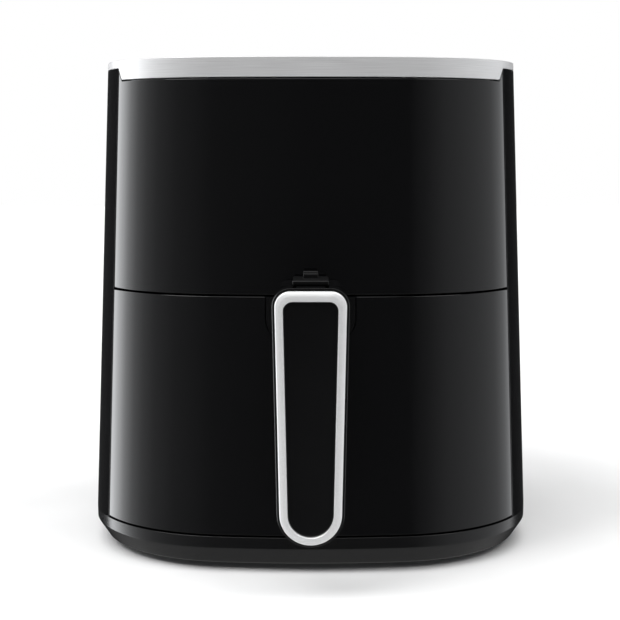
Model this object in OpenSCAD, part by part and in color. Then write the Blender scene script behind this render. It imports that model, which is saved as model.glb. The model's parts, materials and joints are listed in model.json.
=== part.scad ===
// Drawer air fryer: a tapered gloss-black body with a wraparound rear housing, a brushed top band,
// a pull-out drawer with pan, basket and paddle handle, and the hot-air chamber above it.
// Millimetres, +Z up, front towards -Y. The origin is on the table, in the middle of the footprint.

/* [Body] */
// Full width of the body at the base seam
body_w = 280; // [260:1:340]
// Full depth of the body at the base seam, without the handle
body_d = 296; // [280:1:360]
// Height of the whole body above the table
body_h = 301.7; // [290:0.1:370]
// Radius of the four upright corners at the base seam
corner_r = 91.5; // [80:0.5:100]
// Radius of the crowned front and rear faces
front_r = 466; // [420:1:600]
// Radius of the crowned side faces
side_r = 900; // [700:1:1200]
// Lean of the walls towards the top, in degrees
draft = 2.29; // [1.5:0.01:2.5]
// Wall of the plastic shells
shell_t = 2.6; // [2:0.1:3.2]
// Angle round the corner at which the front panels meet the rear housing
edge_angle = 59.2; // [56:0.1:62]
// Height of the seam between the drawer front and the upper fascia
seam_z = 164.2; // [160:0.1:176]
// Gap along the drawer seam
seam_gap = 1.2; // [0.8:0.1:2]

/* [Top] */
// Depth of the metal band across the front
band_front_h = 11.7; // [9:0.1:14]
// Depth of the metal band round the sides and back
band_side_h = 4.7; // [4:0.1:6]
// Angle over which the band steps from one depth to the other
band_step_angle = 3.6; // [2:0.1:5]
// Sheet of the metal band
band_t = 1.4; // [1:0.1:1.6]
// Width of the band's flat top lip
band_lip = 4; // [3:0.1:6]
// How far the top cover lies below the lip's upper face
cover_drop = 2.2; // [1.5:0.1:3]
// Width of the control glass
glass_w = 128; // [100:1:140]
// Depth of the control glass from front to back
glass_d = 58; // [50:1:70]

/* [Base] */
// Height of the seam between the body and its base ring
base_seam_z = 22; // [20:0.5:26]
// Height of the crease round the base ring
crease_z = 13.6; // [12:0.1:15]
// Height of the base ring's lower lip above the table
lip_z = 4; // [3.5:0.1:5]
// How far the lower lip is drawn in
lip_inset = 7.5; // [6:0.5:9]
// Thickness of the bottom plate
plate_t = 3; // [2.5:0.1:4]
// Radius of a rubber foot
foot_r = 10; // [8:0.5:11]
// Distance of the feet from the middle, sideways
foot_x = 99; // [90:1:100]
// Distance of the feet from the middle, front to back
foot_y = 96; // [88:1:98]

/* [Pan and basket] */
// Outer width of the pan's walls
pan_w = 216; // [196:1:217]
// Upright radius of the pan's corners
pan_corner = 60; // [50:1:64]
// Underside of the pan above the table
pan_z = 31; // [30:0.5:34]
// Height of the pan's rim above the table
pan_rim_z = 154; // [150:0.5:154]
// Width of the rim that runs on the rails
pan_flange = 5; // [4.5:0.1:5.2]
// Sheet of the pan, the basket and the cooking chamber
sheet_t = 1.2; // [1:0.1:1.4]
// Space between the pan's wall and the basket
basket_gap = 3.3; // [2.5:0.1:5]
// Space under the basket for dripping fat
basket_lift = 9; // [7:0.5:14]
// Height of the basket's rim below the pan's rim
basket_drop = 3; // [2:0.5:6]
// Radius of the holes in the basket
basket_hole_r = 3; // [2:0.1:3.2]
// Distance between the basket's holes
basket_hole_pitch = 17; // [13:0.5:24]

/* [Handle] */
// How far the handle stands out from the drawer front
handle_reach = 50.5; // [48:0.5:60]
// Width of the handle's metal frame at its top
frame_top_w = 39.4; // [38:0.1:44]
// Width of the frame at its round lower end
frame_low_w = 34.6; // [30:0.1:38]
// Height of the frame
frame_h = 141; // [120:1:145]
// Top of the frame above the table
frame_top_z = 172.4; // [170:0.1:173]
// Width of the frame's strip
frame_strip = 4.6; // [3.5:0.1:5]
// Depth of the frame from front to back
frame_t = 3; // [2.5:0.1:4]
// How far the black grip shows round the frame
grip_rim = 1.6; // [1:0.1:1.7]
// Thickness of the grip behind the frame
grip_t = 18; // [15:0.5:19]
// Half width of the handle's root plate in the drawer front
root_half_w = 26; // [24:0.5:30]
// Height of the root plate
root_h = 25; // [23:0.5:28]

/* [Release latch] */
// Travel of the release button
button_travel = 3.5; // [2.5:0.1:3.6]
// Travel of the guard over the button
guard_travel = 13; // [11:0.5:13]
// Radius of the lever's pin
pin_r = 1.5; // [1.2:0.1:2]
// Wire of the button's spring
spring_wire = 0.7; // [0.5:0.05:0.8]

/* [Cooking chamber] */
// Outside width of the chamber hood
hood_w = 226; // [216:1:228]
// Underside of the chamber hood
hood_z = 166; // [165:0.5:170]
// Top of the chamber hood
hood_top_z = 213; // [208:0.5:216]
// Radius of the heater tube
heater_r = 3.2; // [2.8:0.1:4]
// Radius of the heater's outer ring
heater_ring_r = 84; // [80:1:86]
// Distance between the heater's two rings
heater_pitch = 22; // [16:1:26]

/* [Fan and motor] */
// Radius of the hot-air fan
fan_r = 72; // [60:1:74]
// Number of blades on the hot-air fan
fan_blades = 10; // [6:1:14]
// Radius of the motor shaft
shaft_r = 3; // [2.5:0.1:4]
// Side of the square motor
motor_w = 60; // [54:1:66]
// Height of the motor's core
motor_h = 26; // [22:1:28]
// Radius of the cooling fan above the chamber
cooler_r = 55; // [45:1:58]

/* [Electrics] */
// Radius of the mains lead that the inlet takes
lead_r = 3.6; // [3:0.1:4]
// Distance of the inlet from the middle
inlet_x = 55; // [40:1:60]
// Height of the inlet above the table
inlet_z = 45; // [40:1:60]

/* [Fits] */
// Clearance between pieces that are seated in one another
seat_gap = 0.3; // [0.2:0.05:0.4]
// Clearance between pieces that slide past one another
slide_gap = 0.4; // [0.3:0.05:0.5]
// Radial clearance of a shaft or pin in its bearing
running_gap = 0.05; // [0.02:0.01:0.1]

/* [Hidden] */
$fn = 64;

half_w = body_w / 2;
half_d = body_d / 2;
lean = tan(draft);
// The handle reaches further forward than anything at the rear, so the body stands this far back
body_y = handle_reach / 2;

// Outline of the body: four crowned faces blended by four corner arcs, all tangent
front_c = [0, front_r - half_d];
side_c = [half_w - side_r, 0];
front_leg = front_r - corner_r;
side_leg = side_r - corner_r;
centres = norm(side_c - front_c);
along = (front_leg * front_leg - side_leg * side_leg + centres * centres) / (2 * centres);
across = sqrt(front_leg * front_leg - along * along);
axis_dir = (side_c - front_c) / centres;
corner_c = front_c + along * axis_dir + across * [-axis_dir[1], axis_dir[0]];
front_angle = atan2(corner_c[0], front_c[1] - corner_c[1]);
side_angle = atan2(corner_c[0] - side_c[0], -corner_c[1]);
arc_step = 7;

// Heights of the shells
band_z = body_h - band_front_h;
band_side_z = body_h - band_side_h;
deck_z = body_h - cover_drop;
deck_low_z = band_side_z - seat_gap;
fascia_z = seam_z + seam_gap / 2;
drawer_low_z = base_seam_z + 0.8;
drawer_top_z = seam_z - seam_gap / 2;
rib_w = 9;
rib_t = 2.4;
backplate_t = 2.5;
edge_gap = 0.4;
edge_gap_angle = edge_gap / corner_r * 180 / PI;
front_edge = edge_angle - edge_gap_angle;
skirt_in = shell_t + 1;
skirt_z = band_z - 8;
plate_inset = lip_inset + shell_t + seat_gap;
plate_z = lip_z + 0.5;
plate_top_z = plate_z + plate_t;
glass_y = -72;
glass_corner = 12;
glass_t = 2;

// Pan, basket and bay
pan_half = pan_w / 2;
pan_front = -116;
pan_d = pan_w + 4;
pan_y = pan_front + pan_d / 2;
pan_bracket_x = pan_half - pan_corner;
pan_bracket_z = [70, 120];
basket_half = pan_half - sheet_t - basket_gap;
basket_front = pan_front + sheet_t + basket_gap;
basket_corner = pan_corner - sheet_t - basket_gap;
basket_z = pan_z + sheet_t + basket_lift;
basket_rim_z = pan_rim_z - basket_drop;
bay_half = pan_half + pan_flange + 1;
bay_t = 2;
bay_open_y = -64;
bay_corner = 34;
bay_rim = 3;
bay_front = bay_open_y - bay_corner;
bay_rear = pan_y + pan_d / 2 + pan_flange + 1;
bay_z = pan_z - slide_gap - 4.6;
bay_leg_in = 32;
bay_leg_x = bay_half + bay_t - bay_leg_in;
bay_leg_y = [bay_front + bay_leg_in, bay_rear - bay_leg_in];
rail_t = 5;
rail_z = pan_rim_z - sheet_t - slide_gap - rail_t;

// Chamber
hood_half = hood_w / 2;
// The bay's rim reaches under the hood's wall, whichever of the two is wider
hood_seat = hood_half + 2;
rim_half = max(bay_half + bay_t + bay_rim, hood_seat);
rim_rear = max(bay_rear + bay_t + bay_rim, hood_seat);
rim_front = bay_front - bay_rim;
hood_corner = 46;
hood_lip = 3.5;
shield_z = hood_top_z + 3;
shield_half = hood_half + 4;
heater_z = hood_z + 15;
heater_start = 100;
heater_sweep = 340;
inner_ring_r = heater_ring_r - heater_pitch;
// The cold legs rise outside the fan, the inner ring's one between the two ends of the outer ring
leg_at = [heater_ring_r * [cos(heater_start + heater_sweep), sin(heater_start + heater_sweep)],
          [0, fan_r + heater_r + 3.4]];
leg_top_z = shield_z + 12;
guard_z = hood_z + 4;

// Fan and motor stack, upwards along the shaft
fan_top_z = hood_top_z - sheet_t - 4;
fan_low_z = fan_top_z - 16;
hub_r = 8;
nut_h = 5;
cooler_z = shield_z + 10;
cooler_h = 10;
bracket_z = cooler_z + cooler_h + 7;
bracket_t = 2;
post_x = 68;
post_y = 20;
post_r = 4;
core_z = bracket_z + bracket_t;
core_top_z = core_z + motor_h;
core_bore = 18;
bearing_r = 8;
bearing_h = 6;
shaft_low_z = fan_low_z - nut_h - 2;
shaft_top_z = core_top_z + bearing_h + 2;
motor_screw_r = 1.8;

// Exhaust at the rear
duct_half_w = 32;
duct_z = hood_z + 8;
duct_h = 32;
duct_t = 1.5;
grille_half_w = 44;
grille_z = duct_z - 8;
grille_h = duct_h + 16;
rear_t = 2.2;

// Electrics
board_x = 98;
board_y = 5;
board_l = 104;
board_z = shield_z + sheet_t + 4;
board_h = 56;
board_t = 1.6;
switch_x = bay_half + bay_t - bay_corner - 4;
switch_z = 118;
plunger_r = 1.6;
plunger_travel = 3;
inlet_r = 7.5;
wire_r = 2.5;
wire_y = half_d - 24;
inlet_l = 14;

// Handle
frame_front = -half_d - handle_reach;
grip_front = frame_front + frame_t;
grip_back = grip_front + grip_t;
frame_corner = 8.6;
grip_top_z = frame_top_z + grip_rim;
handle_screw_z = [frame_top_z - frame_h + 26, frame_top_z - frame_h + 92];
low_r = frame_low_w / 2;
top_c = [frame_top_w / 2 - frame_corner, frame_top_z - frame_corner];
low_c = [0, frame_top_z - frame_h + low_r];
paddle_dir = low_c - top_c;
side_tangent = atan2(paddle_dir[1], paddle_dir[0]) + acos((frame_corner - low_r) / norm(paddle_dir));
arm_half = 17;
arm_low_z = drawer_top_z - 20.6;
neck_half = root_half_w - 2;
neck_top_z = drawer_top_z - 0.6;
neck_front = -half_d + (drawer_top_z - base_seam_z) * lean + 1.2;
neck_back = -half_d + 20;
root_z = drawer_top_z - root_h;
root_corner = 12;
arm_back = -half_d + 1.5;

// Latch and button
pivot_y = -half_d + 7;
pivot_z = neck_top_z - 7;
lever_half = 6;
lever_t = 4;
hub_out = 2.5;
button_y = frame_front + 34;
button_half_x = 6;
button_half_y = 6;
button_top_z = grip_top_z - 0.8;
shelf_z = pivot_z + lever_t / 2 + 0.8;
shelf_t = 1.4;
cap_low_z = grip_top_z - 3 - 3.2;
stem_r = 2;
stem_low_z = pivot_z + lever_t / 2 + 1;
guard_z0 = grip_top_z + slide_gap;
guard_t = 2.6;
guard_half_x = 10;
guard_back = button_y + button_half_y + 2;
guard_l = 27;
keel_x = 8.2;
keel_t = 1.4;
keel_h = 3;
catch_z = root_z - 2.6;
catch_y = -half_d + (catch_z - base_seam_z) * lean + shell_t + 0.2;
tooth_d = 2;

// ---- outline functions ----
function taper(z) = max(0, z - base_seam_z) * lean;
function quarter(q, inset) =
    let (c = q < front_angle ? front_c : q < side_angle ? corner_c : side_c,
         r = q < front_angle ? front_r : q < side_angle ? corner_r : side_r)
    c + (r - inset) * [sin(q), -cos(q)];
// Signed angle round the body, 0 at the front and 180 at the rear
function wrap(t) = let (u = (t + 540) % 360) u - 180;
function rim(t, inset) =
    let (u = wrap(t), q = abs(u) > 90 ? 180 - abs(u) : abs(u), p = quarter(q, inset))
    [u < 0 ? -p[0] : p[0], abs(u) > 90 ? -p[1] : p[1]];
function body_point(t, inset, z) = let (p = rim(t, inset + taper(z))) [p[0], p[1], z];
breaks = [for (k = [-2 : 2], a = [-side_angle, -front_angle, front_angle, side_angle])
          k * 180 + a];
function radius_at(t) =
    let (u = abs(wrap(t)), q = u > 90 ? 180 - u : u)
    q < front_angle ? front_r : q < side_angle ? corner_r : side_r;
function stops(t0, t1, marks) = concat([t0], [for (m = marks) if (m > t0 + 0.05 && m < t1 - 0.05) m],
                                       [t1]);
// Angles from t0 to t1, with a stop at each change of radius and each extra mark
function turn(t0, t1, marks = []) =
    let (s = stops(t0, t1, merge(breaks, marks)))
    concat([for (i = [0 : len(s) - 2])
            let (span = s[i + 1] - s[i],
                 n = max(1, ceil(span * PI / 180 * radius_at((s[i] + s[i + 1]) / 2) / arc_step)))
            for (k = [0 : n - 1]) s[i] + span * k / n], [t1]);
function merge(a, b) = sorted(concat(a, b));
function sorted(v) = len(v) < 2 ? v :
    let (p = v[floor(len(v) / 2)])
    concat(sorted([for (x = v) if (x < p) x]), [p], sorted([for (x = v) if (x > p) x]));
function band_low(t) =
    let (u = abs(wrap(t)), s = (u - edge_angle + band_step_angle) / band_step_angle)
    band_z + (band_side_z - band_z) * min(1, max(0, s));

// ---- general shapes ----
// A section [[inset, z], ...] swept round the body; section is a function of the angle
module skin(section, angles, loop = false) {
    n = len(section(angles[0]));
    m = loop ? len(angles) - 1 : len(angles);
    points = [for (i = [0 : m - 1]) for (s = section(angles[i])) body_point(angles[i], s[0], s[1])];
    sides = [for (i = [0 : loop ? m - 1 : m - 2], k = [0 : n - 1])
             let (a = i * n, b = ((i + 1) % m) * n, j = (k + 1) % n)
             each [[a + k, b + k, b + j], [a + k, b + j, a + j]]];
    ends = loop ? [] : [[for (k = [0 : n - 1]) k], [for (k = [n - 1 : -1 : 0]) (m - 1) * n + k]];
    polyhedron(points, concat(sides, ends), 4);
}
// Flat plate with the body's outline at height at_z, drawn in by inset
module outline_plate(inset, z, t, at_z = undef) {
    ts = turn(-180, 180);
    lean_in = taper(is_undef(at_z) ? z : at_z);
    translate([0, 0, z])
        linear_extrude(t)
            polygon([for (i = [0 : len(ts) - 2]) rim(ts[i], inset + lean_in)]);
}
function round_rect(hx, hy, r) =
    [for (c = [[1, -1, -90], [1, 1, 0], [-1, 1, 90], [-1, -1, 180]], a = [0 : 6 : 90])
     [c[0] * (hx - r), c[1] * (hy - r)] + r * [cos(c[2] + a), sin(c[2] + a)]];
module slab(hx, hy, r, z, t) {
    translate([0, 0, z])
        linear_extrude(t)
            polygon(round_rect(hx, hy, r));
}
module box(x0, x1, y0, y1, z0, z1) {
    translate([x0, y0, z0])
        cube([x1 - x0, y1 - y0, z1 - z0]);
}
module post(x, y, z0, z1, r) {
    translate([x, y, z0])
        cylinder(h = z1 - z0, r = r);
}
module rod_y(x, z, y0, y1, r) {
    translate([x, y0, z])
        rotate([-90, 0, 0])
            cylinder(h = y1 - y0, r = r);
}
module rod_x(y, z, x0, x1, r) {
    translate([x0, y, z])
        rotate([0, 90, 0])
            cylinder(h = x1 - x0, r = r);
}
// Smooth path that starts and ends on a route and is drawn to each of its other points
function smooth(route, steps) =
    let (n = len(route))
    concat([route[0]],
           [for (i = [1 : n - 2], k = [0 : steps])
            let (a = (route[i - 1] + route[i]) / 2, b = (route[i] + route[i + 1]) / 2,
                 f = k / steps)
            if (k < steps || i == n - 2)
            (1 - f) * (1 - f) * a + 2 * f * (1 - f) * route[i] + f * f * b],
           [route[n - 1]]);
// Round tube swept along a path of points, by sections square to it
module tube(path, r, sides, side_on = [0.5, 0.62, 0.6]) {
    n = len(path);
    points = [for (i = [0 : n - 1])
              let (t = path[min(i + 1, n - 1)] - path[max(i - 1, 0)],
                   u = cross(t, side_on) / norm(cross(t, side_on)), v = cross(t, u) / norm(t))
              for (k = [0 : sides - 1])
              path[i] + r * cos(360 * k / sides) * u + r * sin(360 * k / sides) * v];
    faces = concat([[for (k = [0 : sides - 1]) k]],
                   [for (i = [0 : n - 2], k = [0 : sides - 1])
                    let (a = i * sides, j = (k + 1) % sides)
                    each [[a + k, a + sides + k, a + sides + j], [a + k, a + sides + j, a + j]]],
                   [[for (k = [sides - 1 : -1 : 0]) (n - 1) * sides + k]]);
    polyhedron(points, faces, 4);
}
module ring(r0, r1, z0, z1) {
    translate([0, 0, z0])
        difference() {
            cylinder(h = z1 - z0, r = r1);
            translate([0, 0, -1])
                cylinder(h = z1 - z0 + 2, r = r0);
        }
}
// Extrudes an outline in x and z along y
module face_y(y0, y1) {
    translate([0, y1, 0])
        rotate([90, 0, 0])
            linear_extrude(y1 - y0)
                children();
}
// Extrudes an outline in y and z along x
module face_x(x0, x1) {
    translate([x0, 0, 0])
        rotate([90, 0, 90])
            linear_extrude(x1 - x0)
                children();
}
// Open-topped tray with round corners
module tray(half, y0, y1, corner, z0, z1, t, floor_t) {
    translate([0, (y0 + y1) / 2, 0])
        difference() {
            slab(half, (y1 - y0) / 2, corner, z0, z1 - z0);
            slab(half - t, (y1 - y0) / 2 - t, corner - t, z0 + floor_t, z1 - z0);
        }
}
module place() {
    translate([0, body_y, 0])
        children();
}

// ---- casing ----
module outer_housing() color([0.07, 0.07, 0.075]) place() {
    difference() {
        skin(function(t) let (f = smooth_edge(t))
                 [[0, base_seam_z], [0, deck_low_z], [f, deck_low_z], [f, base_seam_z]],
             turn(edge_angle, 360 - edge_angle, [edge_angle + 3, 357 - edge_angle]));
        box(-grille_half_w - seat_gap, grille_half_w + seat_gap, half_d - 30, half_d + 10,
            grille_z - seat_gap, grille_z + grille_h + seat_gap);
        rod_y(inlet_x, inlet_z, half_d - 30, half_d + 10, inlet_r - 1.5);
    }
}
// The housing's front edges are a little thicker than its wall
function smooth_edge(t) = let (u = abs(wrap(t))) u < edge_angle + 1 ? shell_t + 1.2 : shell_t;

module upper_fascia() color([0.05, 0.05, 0.055]) place() {
    skin(function(t)
             [[0, fascia_z], [0, band_low(t) - seat_gap], [shell_t, band_low(t) - seat_gap],
              [shell_t, fascia_z + rib_t], [rib_w, fascia_z + rib_t], [rib_w, fascia_z]],
         turn(-front_edge, front_edge, [-edge_angle + band_step_angle, edge_angle - band_step_angle]));
}

module top_trim_band() color([0.78, 0.78, 0.79]) place() {
    skin(function(t)
             [[0, band_low(t)], [0, body_h], [band_lip, body_h], [band_lip, deck_z],
              [band_t, deck_z], [band_t, band_low(t)]],
         turn(-180, 180, [-edge_angle, -edge_angle + band_step_angle,
                          edge_angle - band_step_angle, edge_angle]), true);
}

module top_cover() color([0.06, 0.06, 0.065]) place() {
    difference() {
        union() {
            outline_plate(band_t + 0.2, deck_low_z, deck_z - deck_low_z);
            outline_plate(skirt_in, skirt_z, deck_low_z + 1 - skirt_z, deck_z);
        }
        outline_plate(skirt_in + 2, skirt_z - 1, deck_low_z + 1 - skirt_z, deck_z);
        translate([0, glass_y, 0])
            slab(glass_w / 2 + seat_gap, glass_d / 2 + seat_gap, glass_corner + seat_gap,
                 deck_z - glass_t, glass_t + 1);
        translate([0, glass_y, 0])
            slab(glass_w / 2 - 4, glass_d / 2 - 4, glass_corner - 4, deck_low_z - 1, 6);
    }
}

module control_glass() color([0.02, 0.02, 0.025]) place() {
    translate([0, glass_y, 0])
        slab(glass_w / 2, glass_d / 2, glass_corner, deck_z - glass_t, glass_t);
}

module control_board() color([0.1, 0.35, 0.2]) place() {
    board_low = deck_low_z - 6;
    translate([0, glass_y, 0]) {
        slab(glass_w / 2 - 6, glass_d / 2 - 6, 3, board_low, board_t);
        for (x = [-48, -32, -16, 16, 32, 48], y = [-12, 12])
            post(x, y, board_low + board_t, deck_z - glass_t, 5);
        box(-14, 14, -9, 9, board_low + board_t, deck_z - glass_t);
        for (x = [-1, 1], y = [-1, 1])
            post(x * (glass_w / 2 - 10), y * (glass_d / 2 - 10), board_low + board_t,
                 deck_z - glass_t, 2.5);
    }
}

module base_ring() color([0.09, 0.09, 0.095]) place() {
    skin(function(t)
             [[lip_inset, lip_z], [0.8, crease_z], [0, base_seam_z], [shell_t + 3, base_seam_z],
              [shell_t + 3, base_seam_z - 2.4], [shell_t, base_seam_z - 2.4],
              [shell_t + 0.8, crease_z + 1], [lip_inset + shell_t, plate_top_z],
              [lip_inset + shell_t, lip_z]],
         turn(-180, 180), true);
}

module base_plate() color([0.14, 0.14, 0.15]) place() {
    difference() {
        outline_plate(plate_inset, plate_z, plate_t);
        for (x = [-1, 1], y = [-1, 1])
            post(x * foot_x, y * foot_y, plate_z - 1, plate_top_z + 1, foot_r / 2 + seat_gap);
        for (x = [-1, 1], y = bay_leg_y)
            post(x * bay_leg_x, y, plate_z - 1, plate_top_z + 1, 1.8);
        for (x = [-50 : 10 : 50])
            box(x - 1.5, x + 1.5, -35, 45, plate_z - 1, plate_top_z + 1);
    }
}

module rubber_feet() color([0.12, 0.12, 0.12]) place() {
    for (x = [-1, 1], y = [-1, 1]) {
        post(x * foot_x, y * foot_y, 0, plate_z, foot_r);
        post(x * foot_x, y * foot_y, plate_z, plate_top_z, foot_r / 2);
    }
}

module base_screws() color([0.7, 0.7, 0.72]) place() {
    for (x = [-1, 1], y = bay_leg_y) {
        post(x * bay_leg_x, y, plate_z - 1.8, plate_z, 3.4);
        post(x * bay_leg_x, y, plate_z, plate_z + 14, 1.5);
    }
}

// ---- drawer bay and chamber ----
module drawer_bay() color([0.2, 0.2, 0.21]) place() {
    difference() {
        union() {
            tray(bay_half + bay_t, bay_front, bay_rear + bay_t, bay_corner, bay_z, hood_z - 2, bay_t,
                 bay_t);
            // outward rim that carries the hood
            difference() {
                translate([0, (rim_front + rim_rear) / 2, 0])
                    slab(rim_half, (rim_rear - rim_front) / 2, bay_corner + bay_rim, hood_z - 4, 4);
                translate([0, (bay_front + bay_rear + bay_t) / 2, 0])
                    slab(bay_half, (bay_rear - bay_front) / 2, bay_corner - bay_t, hood_z - 5, 6);
            }
            for (x = [-1, 1], y = bay_leg_y)
                post(x * bay_leg_x, y, plate_top_z, bay_z + 1, 6);
        }
        // the front is open, so that the drawer comes straight out
        box(-half_w, half_w, bay_front - 30, bay_open_y, bay_z - 1, hood_z + 1);
        for (x = [-1, 1], y = bay_leg_y)
            post(x * bay_leg_x, y, plate_top_z - 1, bay_z + 0.5, 1.5);
        rod_y(switch_x, switch_z, bay_rear - 1, bay_rear + bay_t + 1, plunger_r + slide_gap);
    }
}

module drawer_rails() color([0.75, 0.76, 0.78]) place() {
    for (s = [-1, 1])
        scale_x(s)
            union() {
                box(pan_half + 1.2, bay_half, bay_open_y + 2, bay_rear - bay_corner, rail_z,
                    rail_z + rail_t);
                box(bay_half - 1.2, bay_half, bay_open_y + 2, bay_rear - bay_corner, rail_z - 8,
                    rail_z + rail_t);
            }
}
module scale_x(s) {
    if (s > 0)
        children();
    else
        mirror([1, 0, 0])
            children();
}

module chamber_hood() color([0.6, 0.61, 0.62]) place() {
    difference() {
        union() {
            slab(hood_half, hood_half, hood_corner, hood_z, hood_top_z - hood_z);
            slab(max(bay_half + bay_t, hood_half) + 1, hood_half + hood_lip, hood_corner + hood_lip,
                 hood_z, sheet_t);
        }
        slab(hood_half - sheet_t, hood_half - sheet_t, hood_corner - sheet_t, hood_z - 1,
             hood_top_z - hood_z + 1 - sheet_t);
        post(0, 0, hood_top_z - 5, hood_top_z + 1, hub_r + 2);
        for (p = leg_at)
            post(p[0], p[1], hood_top_z - 5, hood_top_z + 1, heater_r + 2);
        post(-60, 60, hood_top_z - 5, hood_top_z + 1, 3);
        box(-duct_half_w + duct_t, duct_half_w - duct_t, hood_half - 6, hood_half + 1,
            duct_z + duct_t, duct_z + duct_h - duct_t);
    }
}

module heat_shield() color([0.72, 0.73, 0.74]) place() {
    difference() {
        slab(shield_half, shield_half, hood_corner + 4, duct_z + duct_h + 1,
             shield_z + sheet_t - duct_z - duct_h - 1);
        slab(shield_half - sheet_t, shield_half - sheet_t, hood_corner + 4 - sheet_t,
             duct_z + duct_h - 1, shield_z - duct_z - duct_h + 1);
        post(0, 0, shield_z - 1, shield_z + 3, hub_r + 2);
        for (x = [-1, 1], y = [-1, 1])
            post(x * post_x, y * post_y, shield_z - 1, shield_z + 3, post_r + seat_gap);
        for (p = leg_at)
            post(p[0], p[1], shield_z - 1, shield_z + 3, heater_r + 2.5);
        post(-60, 60, shield_z - 1, shield_z + 3, 6);
        for (a = [0 : 30 : 330])
            rotate(a + 15)
                post(40, 0, shield_z - 1, shield_z + 3, 3);
    }
}

// One tube: down the outer leg, round the outer ring, across, round the inner ring and up again
module heating_element() color([0.3, 0.3, 0.31]) place() {
    steps = 28;
    bend = 14;
    outer = [for (k = [steps : -1 : 0]) heater_point(heater_ring_r, heater_sweep * k / steps)];
    inner = [for (k = [0 : steps]) heater_point(inner_ring_r, heater_sweep * k / steps)];
    tube(smooth(concat([leg_point(0, leg_top_z), leg_point(0, heater_z + bend)], outer, inner,
                       [leg_point(1, heater_z), leg_point(1, heater_z + bend),
                        leg_point(1, leg_top_z)]), 2), heater_r, 10);
}
function heater_point(r, a) = [r * cos(heater_start + a), r * sin(heater_start + a), heater_z];
function leg_point(i, z) = [leg_at[i][0], leg_at[i][1], z];

module element_bushes() color([0.9, 0.88, 0.82]) place() {
    for (p = leg_at)
        translate([p[0], p[1], 0]) {
            ring(heater_r + running_gap, heater_r + 2, hood_top_z - sheet_t, hood_top_z);
            ring(heater_r + running_gap, heater_r + 2.4, hood_top_z, shield_z + 5);
        }
}

module element_clips() color([0.66, 0.67, 0.68]) place() {
    reach = hood_half - sheet_t;
    for (a = [0, 180, 270])
        rotate(a) {
            box(heater_ring_r - 6, reach, -5, 5, heater_z + heater_r, heater_z + heater_r + 1.5);
            box(heater_ring_r - 6, reach, -5, 5, heater_z - heater_r - 1.5, heater_z - heater_r);
            box(reach - 1.5, reach, -5, 5, heater_z - heater_r, heater_z + heater_r);
        }
}

module element_guard() color([0.78, 0.79, 0.8]) place() {
    for (r = [20 : 16 : 100])
        ring(r - 1.2, r + 1.2, guard_z, guard_z + 1.6);
    for (a = [0 : 45 : 315])
        rotate(a)
            box(19, a % 90 == 0 ? hood_half - sheet_t : 101, -1.5, 1.5, guard_z, guard_z + 1.6);
}

// ---- fan and motor ----
module motor_bracket() color([0.7, 0.71, 0.72]) place() {
    difference() {
        union() {
            slab(post_x + 7, post_y + 8, 5, bracket_z, bracket_t);
            for (x = [-1, 1], y = [-1, 1])
                post(x * post_x, y * post_y, hood_top_z, bracket_z + 0.5, post_r);
            ring(bearing_r, bearing_r + 3, bracket_z - 3, bracket_z + 1);
        }
        post(0, 0, bracket_z - 4, core_z + 1, bearing_r);
        for (x = [-1, 1], y = [-1, 1])
            post(x * (motor_w / 2 - 6), y * post_y, bracket_z - 1, core_z + 1, motor_screw_r + 0.2);
        for (x = [-1, 1])
            post(x * 45, 0, bracket_z - 1, core_z + 1, 7);
    }
}

module motor_core() color([0.45, 0.46, 0.48]) place() {
    window = motor_w / 2 - 12;
    difference() {
        slab(motor_w / 2, motor_w / 2, 4, core_z, motor_h);
        post(0, 0, core_z - 1, core_top_z + 1, core_bore);
        for (s = [-1, 1])
            box(-window, window, s > 0 ? core_bore - 4 : -motor_w / 2 + 5,
                s > 0 ? motor_w / 2 - 5 : 4 - core_bore, core_z - 1, core_top_z + 1);
        for (x = [-1, 1], y = [-1, 1])
            post(x * (motor_w / 2 - 6), y * post_y, core_z - 1, core_top_z + 1, motor_screw_r + 0.2);
    }
}

module motor_coils() color([0.75, 0.42, 0.2]) place() {
    window = motor_w / 2 - 12;
    for (s = [-1, 1])
        scale_y(s)
            box(-window + 1, window - 1, core_bore + 0.5, motor_w / 2 - 5.5, core_z + 2,
                core_top_z - 2);
}
module scale_y(s) {
    if (s > 0)
        children();
    else
        mirror([0, 1, 0])
            children();
}

module motor_cap() color([0.7, 0.71, 0.72]) place() {
    difference() {
        union() {
            slab(motor_w / 2, post_y + 6, 4, core_top_z, 2);
            ring(bearing_r, bearing_r + 3, core_top_z + 1, core_top_z + bearing_h);
        }
        post(0, 0, core_top_z - 1, core_top_z + bearing_h + 1, bearing_r);
        for (x = [-1, 1], y = [-1, 1])
            post(x * (motor_w / 2 - 6), y * post_y, core_top_z - 1, core_top_z + 3,
                 motor_screw_r + 0.2);
    }
}

module bearings() color([0.8, 0.65, 0.35]) place() {
    ring(shaft_r + running_gap, bearing_r, bracket_z - 3, bracket_z - 3 + bearing_h - 1);
    ring(shaft_r + running_gap, bearing_r, core_top_z, core_top_z + bearing_h);
}

module motor_screws() color([0.75, 0.75, 0.77]) place() {
    for (x = [-1, 1], y = [-1, 1])
        translate([x * (motor_w / 2 - 6), y * post_y, 0]) {
            post(0, 0, bracket_z - 1.5, core_top_z + 2, motor_screw_r);
            post(0, 0, core_top_z + 2, core_top_z + 4, 3.4);
            post(0, 0, bracket_z - 2.5, bracket_z, 3.2);
        }
}

module motor_shaft() color([0.82, 0.83, 0.85]) place() {
    post(0, 0, shaft_low_z, shaft_top_z, shaft_r);
}

module motor_rotor() color([0.5, 0.51, 0.53]) place() {
    ring(shaft_r, core_bore - 0.5, core_z + 3.5, core_top_z - 3);
}

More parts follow.
